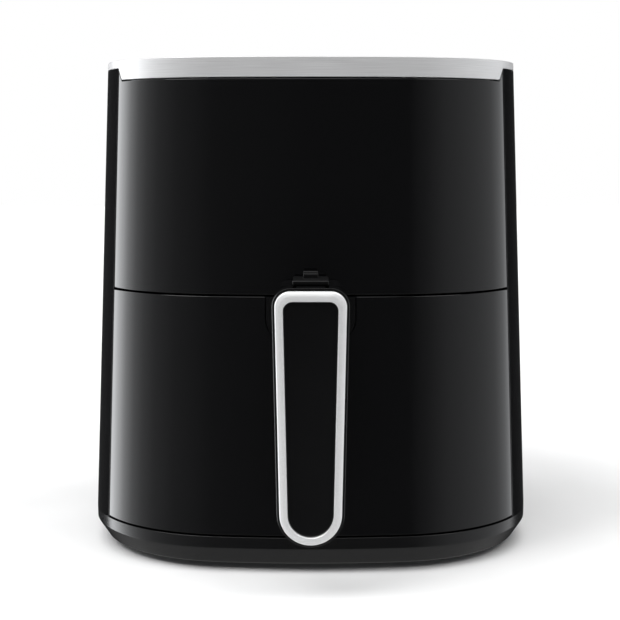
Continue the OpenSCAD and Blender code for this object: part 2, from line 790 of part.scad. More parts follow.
module convection_fan() color([0.75, 0.76, 0.78]) place() {
    difference() {
        union() {
            post(0, 0, fan_top_z - 1, fan_top_z, fan_r);
            post(0, 0, fan_low_z, fan_top_z + 3, hub_r);
            for (i = [0 : fan_blades - 1])
                rotate(i * 360 / fan_blades)
                    translate([fan_r / 2 + 12, 0, 0])
                        rotate(28)
                            box(-26, 24, -0.6, 0.6, fan_low_z + 2, fan_top_z - 0.5);
        }
        post(0, 0, fan_low_z - 1, fan_top_z + 4, shaft_r);
    }
}

module cooling_fan() color([0.25, 0.25, 0.27]) place() {
    difference() {
        union() {
            post(0, 0, cooler_z, cooler_z + 1, cooler_r);
            post(0, 0, cooler_z, cooler_z + cooler_h, hub_r);
            for (i = [0 : 8])
                rotate(i * 40)
                    box(hub_r - 1, cooler_r - 1, -0.6, 0.6, cooler_z + 0.5, cooler_z + cooler_h);
        }
        post(0, 0, cooler_z - 1, cooler_z + cooler_h + 1, shaft_r);
    }
}

module fan_nut() color([0.7, 0.7, 0.72]) place() {
    difference() {
        translate([0, 0, fan_low_z - nut_h])
            cylinder(h = nut_h, r = 2 * shaft_r, $fn = 6);
        post(0, 0, fan_low_z - nut_h - 1, fan_low_z + 1, shaft_r);
    }
}

// ---- exhaust ----
module exhaust_duct() color([0.65, 0.66, 0.67]) place() {
    y1 = half_d - (duct_z + duct_h - base_seam_z) * lean - shell_t - 2.5;
    difference() {
        box(-duct_half_w, duct_half_w, hood_half, y1, duct_z, duct_z + duct_h);
        box(-duct_half_w + duct_t, duct_half_w - duct_t, hood_half - 1, y1 + 1, duct_z + duct_t,
            duct_z + duct_h - duct_t);
    }
}

module exhaust_grille() color([0.08, 0.08, 0.085]) place() {
    a = asin(grille_half_w / front_r);
    difference() {
        intersection() {
            skin(function(t)
                     [[0, grille_z], [0, grille_z + grille_h], [rear_t, grille_z + grille_h],
                      [rear_t, grille_z]],
                 turn(180 - a - 2, 180 + a + 2));
            box(-grille_half_w, grille_half_w, half_d - 40, half_d + 5, grille_z,
                grille_z + grille_h);
        }
        for (z = [grille_z + 5 : 6 : grille_z + grille_h - 7])
            box(-grille_half_w + 5, grille_half_w - 5, half_d - 40, half_d + 10, z, z + 3.2);
    }
}

// ---- electrics ----
module temperature_sensor() color([0.8, 0.8, 0.82]) place() {
    post(-60, 60, hood_top_z - sheet_t - 14, hood_top_z, 2.4);
    post(-60, 60, hood_top_z, hood_top_z + 2, 5);
}

module thermal_fuse() color([0.85, 0.85, 0.8]) place() {
    fuse_z = shield_z + sheet_t + 3;
    rod_x(-62, fuse_z, -14, 14, 3);
    for (x = [-12, 12])
        box(x - 1.5, x + 1.5, -66, -58, fuse_z - 3, fuse_z - 2.6);
}

module board_carrier() color([0.85, 0.84, 0.8]) place() {
    foot_z = shield_z + sheet_t;
    difference() {
        box(board_x - 4, board_x + 8, board_y - board_l / 2 - 3, board_y + board_l / 2 + 3, foot_z,
            board_z + 3);
        box(board_x - seat_gap, board_x + board_t + seat_gap, board_y - board_l / 2 - seat_gap,
            board_y + board_l / 2 + seat_gap, board_z, board_z + 4);
    }
    for (y = [board_y - board_l / 2 - 3, board_y + board_l / 2 + 0.3])
        box(board_x - 4, board_x + 5, y, y + 2.7, board_z, board_z + board_h * 0.7);
}

module power_board() color([0.12, 0.4, 0.22]) place() {
    box(board_x, board_x + board_t, board_y - board_l / 2, board_y + board_l / 2, board_z,
        board_z + board_h);
}

module board_components() color([0.15, 0.15, 0.5]) place() {
    translate([board_x, board_y, board_z]) {
        box(-16, 0, -46, -27, 8, 24);
        box(-18, 0, -18, 8, 8, 30);
        box(-11, 0, 30, 46, 6, 16);
        for (y = [18, 40])
            rod_x(y, 36, -20, 0, 7);
        box(-6, 0, -44, -20, 34, 40);
        box(-3, 0, -12, 6, 38, 50);
    }
}

module door_switch() color([0.13, 0.13, 0.14]) place() {
    y0 = bay_rear + bay_t;
    difference() {
        box(switch_x - 10, switch_x + 10, y0, y0 + 10, switch_z - 5, switch_z + 5);
        rod_y(switch_x, switch_z, y0 - 1, y0 + 7, plunger_r + running_gap);
    }
}

module switch_plunger() color([0.8, 0.2, 0.15]) place() {
    rod_y(switch_x, switch_z, bay_rear - pan_flange - 1 + slide_gap, bay_rear + bay_t + 6, plunger_r);
}

module cord_inlet() color([0.1, 0.1, 0.1]) place() {
    wall_y = rim_back(inlet_x, inlet_z);
    difference() {
        union() {
            rod_y(inlet_x, inlet_z, wall_y - inlet_l, wall_y + 0.5, inlet_r - 1.5 - seat_gap);
            rod_y(inlet_x, inlet_z, wall_y - 9, wall_y - shell_t - 1.5, inlet_r);
        }
        rod_y(inlet_x, inlet_z, wall_y - inlet_l - 1, wall_y + 2, lead_r);
    }
}
// Rear wall's outer face at a distance x from the middle and a height z
function rim_back(x, z) = half_d - front_r + sqrt(pow(front_r - taper(z), 2) - x * x);

module mains_wiring() color([0.2, 0.2, 0.22]) place() {
    wall_y = rim_back(inlet_x, inlet_z);
    end_y = board_y + 38;
    end_z = board_z + 11;
    turn_x = board_x - 16;
    route = [[inlet_x, wall_y - inlet_l - 0.6, inlet_z], [inlet_x, wire_y, inlet_z],
             [inlet_x, wire_y, inlet_z + 8], [inlet_x, wire_y, board_z - 6],
             [inlet_x, wire_y, board_z + 16], [inlet_x + 7, wire_y - 12, board_z + 18],
             [turn_x, 84, end_z + 4], [turn_x, end_y, end_z], [board_x - 11, end_y, end_z]];
    tube(smooth(route, 6), wire_r, 10);
}

// ---- drawer ----
// Outline of the root notch in the drawer front, grown by g
module root_outline(g) {
    hw = root_half_w + g;
    r = root_corner + g;
    zc = root_z + root_corner;
    polygon(concat([for (a = [180 : 10 : 270]) [-hw + r, zc] + r * [cos(a), sin(a)]],
                   [for (a = [270 : 10 : 360]) [hw - r, zc] + r * [cos(a), sin(a)]],
                   [[hw, drawer_top_z + (g > 0 ? 5 : 0)], [-hw, drawer_top_z + (g > 0 ? 5 : 0)]]));
}

module drawer_front() color([0.05, 0.05, 0.055]) place() {
    difference() {
        skin(function(t)
                 [[0, drawer_low_z], [0, drawer_top_z], [rib_w, drawer_top_z],
                  [rib_w, drawer_top_z - rib_t], [shell_t, drawer_top_z - rib_t],
                  [shell_t, drawer_low_z + rib_t], [rib_w, drawer_low_z + rib_t],
                  [rib_w, drawer_low_z]],
             turn(-front_edge, front_edge));
        face_y(-half_d - 5, -half_d + 30)
            root_outline(slide_gap);
    }
}

module drawer_backplate() color([0.16, 0.16, 0.17]) place() {
    difference() {
        skin(function(t)
                 [[rib_w, drawer_low_z], [rib_w, drawer_top_z],
                  [rib_w + backplate_t, drawer_top_z], [rib_w + backplate_t, drawer_low_z]],
             turn(-front_edge, front_edge));
        box(-root_half_w - slide_gap, root_half_w + slide_gap, -half_d, -half_d + 40,
            catch_z - 10, drawer_top_z + 5);
    }
}

module latch_catch() color([0.75, 0.76, 0.78]) place() {
    box(-8, 8, catch_y, catch_y + tooth_d, catch_z, catch_z + 2);
}

module pan() color([0.1, 0.1, 0.105]) place() {
    translate([0, pan_y, 0])
        difference() {
            union() {
                slab(pan_half, pan_d / 2, pan_corner, pan_z, pan_rim_z - pan_z);
                slab(pan_half + pan_flange, pan_d / 2 + pan_flange, pan_corner + pan_flange,
                     pan_rim_z - sheet_t, sheet_t);
            }
            slab(pan_half - sheet_t, pan_d / 2 - sheet_t, pan_corner - sheet_t, pan_z + sheet_t,
                 pan_rim_z - pan_z);
        }
}

// Brackets join the pan's front wall to the drawer's backplate
function backplate_y(x, z) =
    -half_d + front_r - sqrt(pow(front_r - rib_w - backplate_t - taper(z), 2) - x * x);
module pan_brackets() color([0.72, 0.73, 0.74]) place() {
    reach = backplate_y(pan_bracket_x + 6, pan_bracket_z[1] + 8);
    for (x = [-1, 1], z = pan_bracket_z)
        difference() {
            box(x * pan_bracket_x - 6, x * pan_bracket_x + 6, reach, pan_front, z - 8, z + 8);
            box(x * pan_bracket_x - 7, x * pan_bracket_x + 7, reach + 2, pan_front - 2, z - 6, z + 9);
        }
}

module pan_screws() color([0.8, 0.8, 0.82]) place() {
    reach = backplate_y(pan_bracket_x + 6, pan_bracket_z[1] + 8);
    for (x = [-1, 1], z = pan_bracket_z)
        rod_y(x * pan_bracket_x, z + 1, reach + 2, reach + 4, 3.2);
}

module basket() color([0.13, 0.13, 0.135]) place() {
    y0 = basket_front;
    y1 = pan_front + pan_d - sheet_t - basket_gap;
    yc = (y0 + y1) / 2;
    nx = floor((basket_half - 16) / basket_hole_pitch);
    nz = 3;
    difference() {
        tray(basket_half, y0, y1, basket_corner, basket_z, basket_rim_z, sheet_t, sheet_t);
        for (i = [-nx : nx], j = [-nx : nx])
            if (norm([i, j]) < nx + 0.6)
                post(i * basket_hole_pitch, yc + j * basket_hole_pitch, basket_z - 1,
                     basket_z + sheet_t + 1, basket_hole_r);
        for (i = [-2 : 2], k = [0 : nz - 1]) {
            rod_x(yc + i * basket_hole_pitch, basket_z + 16 + k * basket_hole_pitch,
                  -basket_half - 1, basket_half + 1, basket_hole_r);
            rod_y(i * basket_hole_pitch, basket_z + 16 + k * basket_hole_pitch,
                  y0 - 1, y1 + 1, basket_hole_r);
        }
    }
}

module basket_bumpers() color([0.2, 0.2, 0.2]) place() {
    for (x = [-1, 1], y = [-1, 1])
        post(x * (basket_half - 40), pan_y + y * (basket_half - 40), pan_z + sheet_t, basket_z, 5);
}

module basket_bracket() color([0.75, 0.76, 0.78]) place() {
    wall_y = basket_front + sheet_t;
    plate_low = pan_rim_z + slide_gap;
    box(-18, 18, neck_back, wall_y + 2, plate_low, plate_low + 2.5);
    box(-18, 18, wall_y, wall_y + 2, basket_rim_z - 30, plate_low + 0.5);
    box(-18, 18, neck_back, neck_back + 2, arm_low_z, plate_low + 1);
}

// ---- handle ----
// Paddle outline of the handle in x and z, grown by g: two upper corner arcs and one lower arc
function paddle(g) = concat(
    [for (k = [0 : 24]) let (a = 180 - side_tangent + (180 + 2 * side_tangent) * k / 24)
     low_c + (low_r + g) * [cos(a), sin(a)]],
    [for (k = [0 : 10]) let (a = side_tangent + (90 - side_tangent) * k / 10)
     top_c + (frame_corner + g) * [cos(a), sin(a)]],
    [for (k = [0 : 10]) let (a = 90 + (90 - side_tangent) * k / 10)
     [-top_c[0], top_c[1]] + (frame_corner + g) * [cos(a), sin(a)]]);

module handle_grip() color([0.06, 0.06, 0.065]) place() {
    difference() {
        union() {
            face_y(grip_front, grip_back)
                polygon(paddle(grip_rim));
            box(-arm_half, arm_half, grip_back - 1, arm_back, arm_low_z, grip_top_z);
            box(-arm_half, arm_half, arm_back - 1, neck_front + 1, arm_low_z, neck_top_z);
            box(-neck_half, neck_half, neck_front, neck_back, arm_low_z, neck_top_z);
            // root plate, flush with the crowned and leaning drawer front
            intersection() {
                translate([0, front_c[1], root_z - 2])
                    cylinder(h = root_h + 4, r1 = front_r - taper(root_z - 2),
                             r2 = front_r - taper(root_z + root_h + 2), $fn = 360);
                face_y(-half_d - 5, neck_front + 6)
                    root_outline(0);
            }
        }
        // room for the lever in the arm and the neck
        box(-lever_half - 3, lever_half + 3, button_y - 9, neck_back - 3,
            pivot_z - lever_t / 2 - button_travel - 1, shelf_z);
        box(-lever_half - 1.3, lever_half + 1.3, catch_y - 0.6, neck_back - 2, root_z - 3, pivot_z);
        // room for the button above the shelf
        box(-button_half_x - 2.4, button_half_x + 2.4, button_y - button_half_y - 2.4,
            button_y + button_half_y + 2.4, shelf_z + shelf_t, grip_top_z - 3);
        box(-button_half_x - slide_gap, button_half_x + slide_gap,
            button_y - button_half_y - slide_gap, button_y + button_half_y + slide_gap,
            grip_top_z - 4, grip_top_z + 1);
        post(0, button_y, shelf_z - 1, shelf_z + shelf_t + 1, stem_r + slide_gap);
        rod_x(pivot_y, pivot_z, -neck_half + 4, neck_half - 4, pin_r);
        for (s = [-1, 1])
            scale_x(s)
                box(keel_x - slide_gap, keel_x + keel_t + slide_gap,
                    guard_back - guard_l - guard_travel + 3, guard_back - 2 + slide_gap,
                    grip_top_z - keel_h - slide_gap, grip_top_z + 1);
        for (z = handle_screw_z) {
            rod_y(0, z, grip_back - 3, grip_back + 1, 3.4 + seat_gap);
            rod_y(0, z, grip_front - 1, grip_back, 1.5);
        }
    }
}

module handle_frame() color([0.8, 0.8, 0.81]) place() {
    face_y(frame_front, grip_front)
        difference() {
            polygon(paddle(0));
            polygon(paddle(-frame_strip));
        }
}

module handle_insert() color([0.04, 0.04, 0.045]) place() {
    face_y(frame_front + 1.2, grip_front)
        polygon(paddle(-frame_strip - 0.1));
}

module handle_screws() color([0.75, 0.75, 0.77]) place() {
    for (z = handle_screw_z) {
        rod_y(0, z, grip_back - 3, grip_back - 0.8, 3.2);
        rod_y(0, z, grip_front, grip_back - 3, 1.5);
    }
}

module release_spring() color([0.8, 0.8, 0.82]) place() {
    steps = 80;
    turns = 5;
    r = stem_r + 1.6;
    low = shelf_z + shelf_t + spring_wire / 2 + 0.05;
    high = cap_low_z - spring_wire / 2 - 0.05;
    tube([for (i = [0 : steps]) let (a = 360 * turns * i / steps)
          [r * cos(a), button_y + r * sin(a), low + (high - low) * i / steps]], spring_wire / 2, 6,
         [0, 0, 1]);
}

module latch_pin() color([0.8, 0.8, 0.82]) place() {
    rod_x(pivot_y, pivot_z, -neck_half + 4, neck_half - 4, pin_r);
}

module release_button() color([0.12, 0.12, 0.125]) place() {
    box(-button_half_x, button_half_x, button_y - button_half_y, button_y + button_half_y,
        cap_low_z + 2.6, button_top_z);
    box(-button_half_x - 2, button_half_x + 2, button_y - button_half_y - 2,
        button_y + button_half_y + 2, cap_low_z, cap_low_z + 2.8);
    post(0, button_y, stem_low_z, cap_low_z + 0.5, stem_r);
}

module button_guard() color([0.15, 0.15, 0.16]) place() {
    y0 = guard_back - guard_l;
    box(-guard_half_x, guard_half_x, y0, guard_back, guard_z0, guard_z0 + guard_t);
    for (y = [0 : 2])
        box(-4.3, 4.3, guard_back - 5 - 3 * y, guard_back - 3.2 - 3 * y, guard_z0 + guard_t - 0.5,
            guard_z0 + guard_t + 3.4);
    for (s = [-1, 1])
        scale_x(s)
            box(keel_x, keel_x + keel_t, y0 + 4, guard_back - 2, grip_top_z - keel_h,
                guard_z0 + 0.5);
}

module latch_lever() color([0.72, 0.73, 0.75]) place() {
    arm_y = catch_y + tooth_d + 0.3;
    tooth_top = catch_z - 1;
    difference() {
        union() {
            rod_x(pivot_y, pivot_z, -lever_half, lever_half, hub_out);
            box(-lever_half + 1, lever_half - 1, button_y - 4, pivot_y, pivot_z - lever_t / 2,
                pivot_z + lever_t / 2);
            box(-lever_half + 1, lever_half - 1, pivot_y, arm_y + 2.6, pivot_z - lever_t / 2,
                pivot_z + lever_t / 2);
            box(-lever_half + 1, lever_half - 1, arm_y, arm_y + 2.6, tooth_top - 3,
                pivot_z + lever_t / 2);
            box(-lever_half + 1, lever_half - 1, arm_y - tooth_d, arm_y + 1, tooth_top - 3,
                tooth_top);
        }
        rod_x(pivot_y, pivot_z, -lever_half - 1, lever_half + 1, pin_r + running_gap);
    }
}

outer_housing();
upper_fascia();
top_trim_band();
top_cover();
control_glass();
control_board();
base_ring();
base_plate();
rubber_feet();
base_screws();
drawer_bay();
drawer_rails();
chamber_hood();
heat_shield();
heating_element();
element_bushes();
element_clips();
element_guard();
motor_bracket();
motor_core();
motor_coils();
motor_cap();
bearings();
motor_screws();
exhaust_duct();
exhaust_grille();
temperature_sensor();
thermal_fuse();
board_carrier();
power_board();
board_components();
door_switch();
cord_inlet();
mains_wiring();
convection_fan();
motor_shaft();
motor_rotor();
cooling_fan();
fan_nut();
drawer_front();
drawer_backplate();
latch_catch();
pan();
pan_brackets();
pan_screws();
basket();
basket_bumpers();
basket_bracket();
handle_grip();
handle_frame();
handle_insert();
handle_screws();
release_spring();
latch_pin();
release_button();
button_guard();
latch_lever();
switch_plunger();
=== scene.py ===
import json
import math

import bmesh
import bpy
from bpy.props import FloatProperty, FloatVectorProperty, IntProperty, PointerProperty
from mathutils import Matrix, Vector


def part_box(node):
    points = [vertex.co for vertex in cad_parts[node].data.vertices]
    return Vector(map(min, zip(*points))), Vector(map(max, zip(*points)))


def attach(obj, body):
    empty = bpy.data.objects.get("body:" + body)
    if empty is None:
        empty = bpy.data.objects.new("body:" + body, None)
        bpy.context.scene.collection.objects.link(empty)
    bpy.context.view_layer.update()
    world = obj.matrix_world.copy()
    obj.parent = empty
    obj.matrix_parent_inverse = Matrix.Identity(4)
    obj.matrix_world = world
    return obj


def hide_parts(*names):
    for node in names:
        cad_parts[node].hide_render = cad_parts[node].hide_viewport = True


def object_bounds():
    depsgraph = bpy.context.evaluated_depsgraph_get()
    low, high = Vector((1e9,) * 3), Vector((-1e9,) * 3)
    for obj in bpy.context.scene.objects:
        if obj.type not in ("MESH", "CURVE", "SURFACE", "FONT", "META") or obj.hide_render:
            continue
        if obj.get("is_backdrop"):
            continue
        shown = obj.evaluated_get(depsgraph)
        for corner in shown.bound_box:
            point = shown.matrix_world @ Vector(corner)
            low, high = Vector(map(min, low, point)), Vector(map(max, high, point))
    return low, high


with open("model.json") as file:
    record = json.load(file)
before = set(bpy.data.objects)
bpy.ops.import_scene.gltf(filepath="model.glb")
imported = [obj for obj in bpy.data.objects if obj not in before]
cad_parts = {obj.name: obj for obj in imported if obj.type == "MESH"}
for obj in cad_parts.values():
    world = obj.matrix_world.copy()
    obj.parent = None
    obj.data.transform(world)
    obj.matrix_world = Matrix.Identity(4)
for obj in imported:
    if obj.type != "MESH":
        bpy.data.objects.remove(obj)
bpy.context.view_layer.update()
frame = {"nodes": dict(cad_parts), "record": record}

bl_info = {
    "name": "Drawer air fryer",
    "version": (1, 0, 0),
    "blender": (4, 5, 0),
    "location": "View3D > Sidebar > Air Fryer",
    "description": "Shells, handle, basket and fittings of a drawer air fryer",
    "category": "Object",
}

MM = 0.001
WELD = 1e-6
FLANGE = 2.4 * MM
SIDE_GAP = 0.4 * MM
NECK_GAP = 0.6 * MM
NECK_HEIGHT = 20 * MM
KEEL = (8.2 * MM, 9.6 * MM)
NODES = frame["nodes"]


def length(name, description, default, low=0.0, high=2.0):
    """A size in metres."""
    return FloatProperty(name=name, description=description, default=default, min=low, max=high,
                         unit="LENGTH", precision=5)


def angle(name, description, degrees):
    """An angle, given here in degrees."""
    return FloatProperty(name=name, description=description, default=math.radians(degrees),
                         unit="ROTATION")


def colour(name, description, rgb):
    """A colour in linear values."""
    return FloatVectorProperty(name=name, description=description, default=rgb, size=3,
                               min=0.0, max=1.0, subtype="COLOR")


def share(name, description, default):
    """A value from 0 to 1."""
    return FloatProperty(name=name, description=description, default=default, min=0.0, max=1.0,
                         subtype="FACTOR")


# ---------------------------------------------------------------- settings

class AirFryerBody(bpy.types.PropertyGroup):
    corner_radius: length("Corner radius", "Radius of the upright corners at the base", 0.0915)
    front_crown: length("Front crown", "Radius of the crowned front and rear faces", 0.466)
    side_crown: length("Side crown", "Radius of the crowned side faces", 0.9)
    draft: angle("Draft", "Lean of the walls towards the top", 2.29)
    wall: length("Wall", "Thickness of the plastic shells", 0.0026)
    return_width: length("Return", "Width of the flanges inside the front panels", 0.009)
    panel_edge: angle("Panel edge", "Angle round the corner where the front panels end", 59.2)
    band_step: angle("Band step", "Angle over which the top band changes depth", 3.6)
    band_sheet: length("Band sheet", "Thickness of the top band", 0.0014)
    band_lip: length("Band lip", "Width of the top band's flat lip", 0.004)
    band_seam: length("Band seam", "Gap between the top band and the fascia", 0.0008)
    edge_round: length("Edge rounding", "Rounding of the moulded edges", 0.0004)
    crease_height: length("Crease height", "Height of the crease round the base ring", 0.0136)
    lip_inset: length("Lip inset", "How far the base ring's lower lip is drawn in", 0.0075)


class AirFryerHandle(bpy.types.PropertyGroup):
    corner: length("Corner", "Radius of the frame's upper corners", 0.0086)
    low_radius: length("Lower radius", "Radius of the frame's round lower end", 0.0173)
    strip: length("Strip", "Width of the frame's strip", 0.0046)
    rim: length("Rim", "How far the black grip shows round the frame", 0.0016)
    back_round: length("Back rounding", "Rounding at the back of the grip", 0.005)
    arm_half: length("Arm half width", "Half the width of the arm", 0.017)
    root_half: length("Root half width", "Half the width of the root plate", 0.026)
    root_height: length("Root height", "Height of the root plate", 0.025)
    root_corner: length("Root corner", "Radius of the root plate's lower corners", 0.012)
    root_gap: length("Root gap", "Gap round the root plate", 0.0004)


class AirFryerBasket(bpy.types.PropertyGroup):
    cell: length("Cell", "Distance between the basket's holes", 0.008)
    hole: length("Hole", "Diameter of the basket's holes", 0.0046)
    sheet: length("Sheet", "Thickness of pan and basket", 0.0012)
    floor_round: length("Floor rounding", "Radius between walls and floor", 0.009)
    holes_across: IntProperty(name="Holes across", description="Holes in a row of the floor",
                              default=19, min=5, max=21)
    wall_rows: IntProperty(name="Wall rows", description="Rows of holes in each wall",
                           default=7, min=2, max=9)


class AirFryerFinish(bpy.types.PropertyGroup):
    gloss_black: colour("Gloss black", "Body shells", (0.0028, 0.0028, 0.0031))
    satin_black: colour("Satin black", "Base ring, grille and inlet", (0.0045, 0.0045, 0.0048))
    frame_silver: colour("Frame silver", "Handle frame", (0.97, 0.97, 0.975))
    silver: colour("Silver", "Top band", (0.84, 0.84, 0.845))
    coating: colour("Coating", "Non-stick coating of pan and basket", (0.022, 0.022, 0.024))
    steel: colour("Steel", "Bright sheet steel", (0.56, 0.57, 0.585))
    floor: colour("Floor", "Table top", (0.86, 0.86, 0.86))
    gloss: share("Gloss roughness", "Roughness of the glossy shells", 0.06)
    satin: share("Satin roughness", "Roughness of the satin plastic", 0.2)


# ---------------------------------------------------------------- node helpers

class Nodes:
    """Short way to build a node tree: add nodes with settings and inputs, and link sockets."""

    def __init__(self, tree):
        self.tree = tree
        self.column = 0

    def add(self, kind, inputs=None, **settings):
        node = self.tree.nodes.new(kind)
        node.location = (self.column * 180, 0)
        self.column += 1
        for key, value in settings.items():
            setattr(node, key, value)
        for key, value in (inputs or {}).items():
            if isinstance(value, bpy.types.NodeSocket):
                self.tree.links.new(value, node.inputs[key])
            else:
                node.inputs[key].default_value = value
        return node

    def math(self, operation, a, b=0.0, c=0.0):
        return self.add("ShaderNodeMath", {0: a, 1: b, 2: c}, operation=operation).outputs[0]


def new_material(name):
    """An empty material with its nodes and its main shader."""
    material = bpy.data.materials.new(name)
    material.use_nodes = True
    material.node_tree.nodes.clear()
    nodes = Nodes(material.node_tree)
    shader = nodes.add("ShaderNodeBsdfPrincipled")
    nodes.add("ShaderNodeOutputMaterial", {"Surface": shader.outputs[0]})
    return material, nodes, shader


def noise(nodes, coords, scale, detail=2.0, stretch=(1, 1, 1), rough=0.5):
    """Noise on the given coordinates, stretched along the axes."""
    mapping = nodes.add("ShaderNodeMapping", {"Vector": coords, "Scale": stretch})
    made = nodes.add("ShaderNodeTexNoise", {"Vector": mapping.outputs[0], "Scale": scale,
                                            "Detail": detail, "Roughness": rough})
    return made.outputs[0]


def spread(nodes, value, low, high):
    """Maps a noise value, which lies mostly between 0.3 and 0.7, onto low to high."""
    made = nodes.add("ShaderNodeMapRange", {0: value, 1: 0.3, 2: 0.7, 3: low, 4: high})
    return made.outputs[0]


def tint(nodes, value, dark, light):
    """Mixes two colours by a value."""
    ramp = nodes.add("ShaderNodeMix", {0: value, 6: (*dark, 1), 7: (*light, 1)}, data_type="RGBA")
    return ramp.outputs[2]


def bump(nodes, shader, height, distance, strength=1.0):
    """Surface relief of the given depth."""
    made = nodes.add("ShaderNodeBump", {"Height": height, "Distance": distance,
                                        "Strength": strength})
    nodes.tree.links.new(made.outputs[0], shader.inputs["Normal"])


def set_inputs(shader, **values):
    """Sets uniform values on the shader's own sockets."""
    names = {"metallic": "Metallic", "coat": "Coat Weight", "coat_rough": "Coat Roughness",
             "sheen": "Sheen Weight", "level": "Specular IOR Level"}
    for key, value in values.items():
        shader.inputs[names[key]].default_value = value


def link(nodes, socket, shader, name):
    nodes.tree.links.new(socket, shader.inputs[name])


def moulded(name, base, rough, swing=0.03, grain=900.0, depth=0.00002, shade=0.25, **more):
    """Moulded plastic, coating or rubber: a little uneven in gloss and tone, with a fine grain."""
    material, nodes, shader = new_material(name)
    coords = nodes.add("ShaderNodeTexCoord").outputs["Object"]
    broad = noise(nodes, coords, 14.0, 3.0)
    fine = noise(nodes, coords, grain, 2.0)
    lighter = tuple(min(1.0, c * (1 + shade)) for c in base)
    link(nodes, tint(nodes, spread(nodes, broad, 0, 1), base, lighter), shader, "Base Color")
    link(nodes, spread(nodes, broad, max(0.02, rough - swing), rough + swing), shader, "Roughness")
    bump(nodes, shader, fine, depth)
    set_inputs(shader, **more)
    return material


def brushed(name, base, rough, lines=2600.0, metallic=1.0, depth=0.000006, along="uv", swing=0.06):
    """Metal or silver finish with fine lines along the piece."""
    material, nodes, shader = new_material(name)
    source = nodes.add("ShaderNodeTexCoord")
    if along == "uv":
        coords, stretch = source.outputs["UV"], (0.012, 1, 1)
    else:
        coords, stretch = source.outputs["Object"], (0.02, 1, 1)
    streaks = noise(nodes, coords, lines, 3.0, stretch, 0.6)
    cloud = noise(nodes, source.outputs["Object"], 30.0, 2.0)
    darker = tuple(c * 0.86 for c in base)
    link(nodes, tint(nodes, spread(nodes, streaks, 0, 1), darker, base), shader, "Base Color")
    mixed = nodes.math("MULTIPLY_ADD", cloud, 0.4, streaks)
    level = nodes.add("ShaderNodeMapRange", {0: mixed, 1: 0.4, 2: 1.0, 3: rough - swing,
                                             4: rough + swing}).outputs[0]
    link(nodes, level, shader, "Roughness")
    bump(nodes, shader, streaks, depth)
    set_inputs(shader, metallic=metallic)
    return material


# ---------------------------------------------------------------- mesh helpers

def shade_smooth(mesh):
    mesh.polygons.foreach_set("use_smooth", [True] * len(mesh.polygons))


def place(mesh):
    """Puts a mesh into the scene as an object of the same name."""
    made = bpy.data.objects.new(mesh.name, mesh)
    bpy.context.scene.collection.objects.link(made)
    return made


def mesh_object(name, points, faces, uvs=None):
    """Object from points and faces, with one UV for each point if there are any."""
    mesh = bpy.data.meshes.new(name)
    mesh.from_pydata([tuple(p) for p in points], [], faces)
    if uvs:
        layer = mesh.uv_layers.new(name="UVMap")
        for loop in mesh.loops:
            layer.data[loop.index].uv = uvs[loop.vertex_index]
    shade_smooth(mesh)
    mesh.update()
    made = place(mesh)
    made.name = name
    return made


def settle(piece):
    """Turns a piece with modifiers into a plain mesh."""
    graph = bpy.context.evaluated_depsgraph_get()
    mesh = bpy.data.meshes.new_from_object(piece.evaluated_get(graph),
                                           preserve_all_data_layers=True, depsgraph=graph)
    piece.modifiers.clear()
    old = piece.data
    piece.data = mesh
    bpy.data.meshes.remove(old)
    mesh.name = piece.name


def point_out(piece, weld=0.0):
    """Points every face outwards, after merging points closer than the weld distance."""
    work = bmesh.new()
    work.from_mesh(piece.data)
    if weld:
        bmesh.ops.remove_doubles(work, verts=work.verts, dist=weld)
    bmesh.ops.recalc_face_normals(work, faces=work.faces)
    work.to_mesh(piece.data)
    work.free()


def face_out(piece):
    """Closes the seams, points the faces outwards and shades them smooth."""
    point_out(piece, WELD)
    shade_smooth(piece.data)


def soften(piece, width, segments=3, limit=30.0):
    """Rounds the sharp edges and leaves the large faces clean."""
    if width > 0:
        edge = piece.modifiers.new("edge", "BEVEL")
        edge.width = width
        edge.segments = segments
        edge.limit_method = "ANGLE"
        edge.angle_limit = math.radians(limit)
        edge.use_clamp_overlap = True
    weighted = piece.modifiers.new("normals", "WEIGHTED_NORMAL")
    weighted.weight = 80
    weighted.keep_sharp = True
    settle(piece)


def cut(piece, tool, operation="DIFFERENCE"):
    """Boolean of piece with tool, which is removed."""
    face_out(piece)
    face_out(tool)
    change = piece.modifiers.new("cut", "BOOLEAN")
    change.operation = operation
    change.object = tool
    change.solver = "EXACT"
    settle(piece)
    bpy.data.objects.remove(tool)


def rings_object(name, rings, closed=False, caps=True, uvs=None):
    """Skins a list of rings, each with the same number of points."""
    count = len(rings[0])
    points = [p for ring in rings for p in ring]
    faces = []
    last = len(rings) if closed else len(rings) - 1
    for i in range(last):
        a, b = i * count, ((i + 1) % len(rings)) * count
        for k in range(count):
            j = (k + 1) % count
            faces.append((a + k, b + k, b + j, a + j))
    if caps and not closed:
        faces.append(tuple(range(count)))
        faces.append(tuple(reversed(range((len(rings) - 1) * count, len(rings) * count))))
    made = mesh_object(name, points, faces, uvs)
    face_out(made)
    return made


def arc(centre, radius, start, end, steps):
    """Points of an arc in a plane, angles in degrees."""
    return [(centre[0] + radius * math.cos(math.radians(start + (end - start) * i / steps)),
             centre[1] + radius * math.sin(math.radians(start + (end - start) * i / steps)))
            for i in range(steps + 1)]


def quarter(steps):
    """Angles of a quarter turn in equal steps, in radians."""
    return [math.pi / 2 * k / steps for k in range(steps + 1)]


def round_rect(half_x, half_y, radius, steps=6):
    """Points of a rectangle with round corners."""
    corners = ((1, -1, -90), (1, 1, 0), (-1, 1, 90), (-1, -1, 180))
    return [p for sx, sy, a in corners
            for p in arc((sx * (half_x - radius), sy * (half_y - radius)), radius, a, a + 90,
                         steps)]


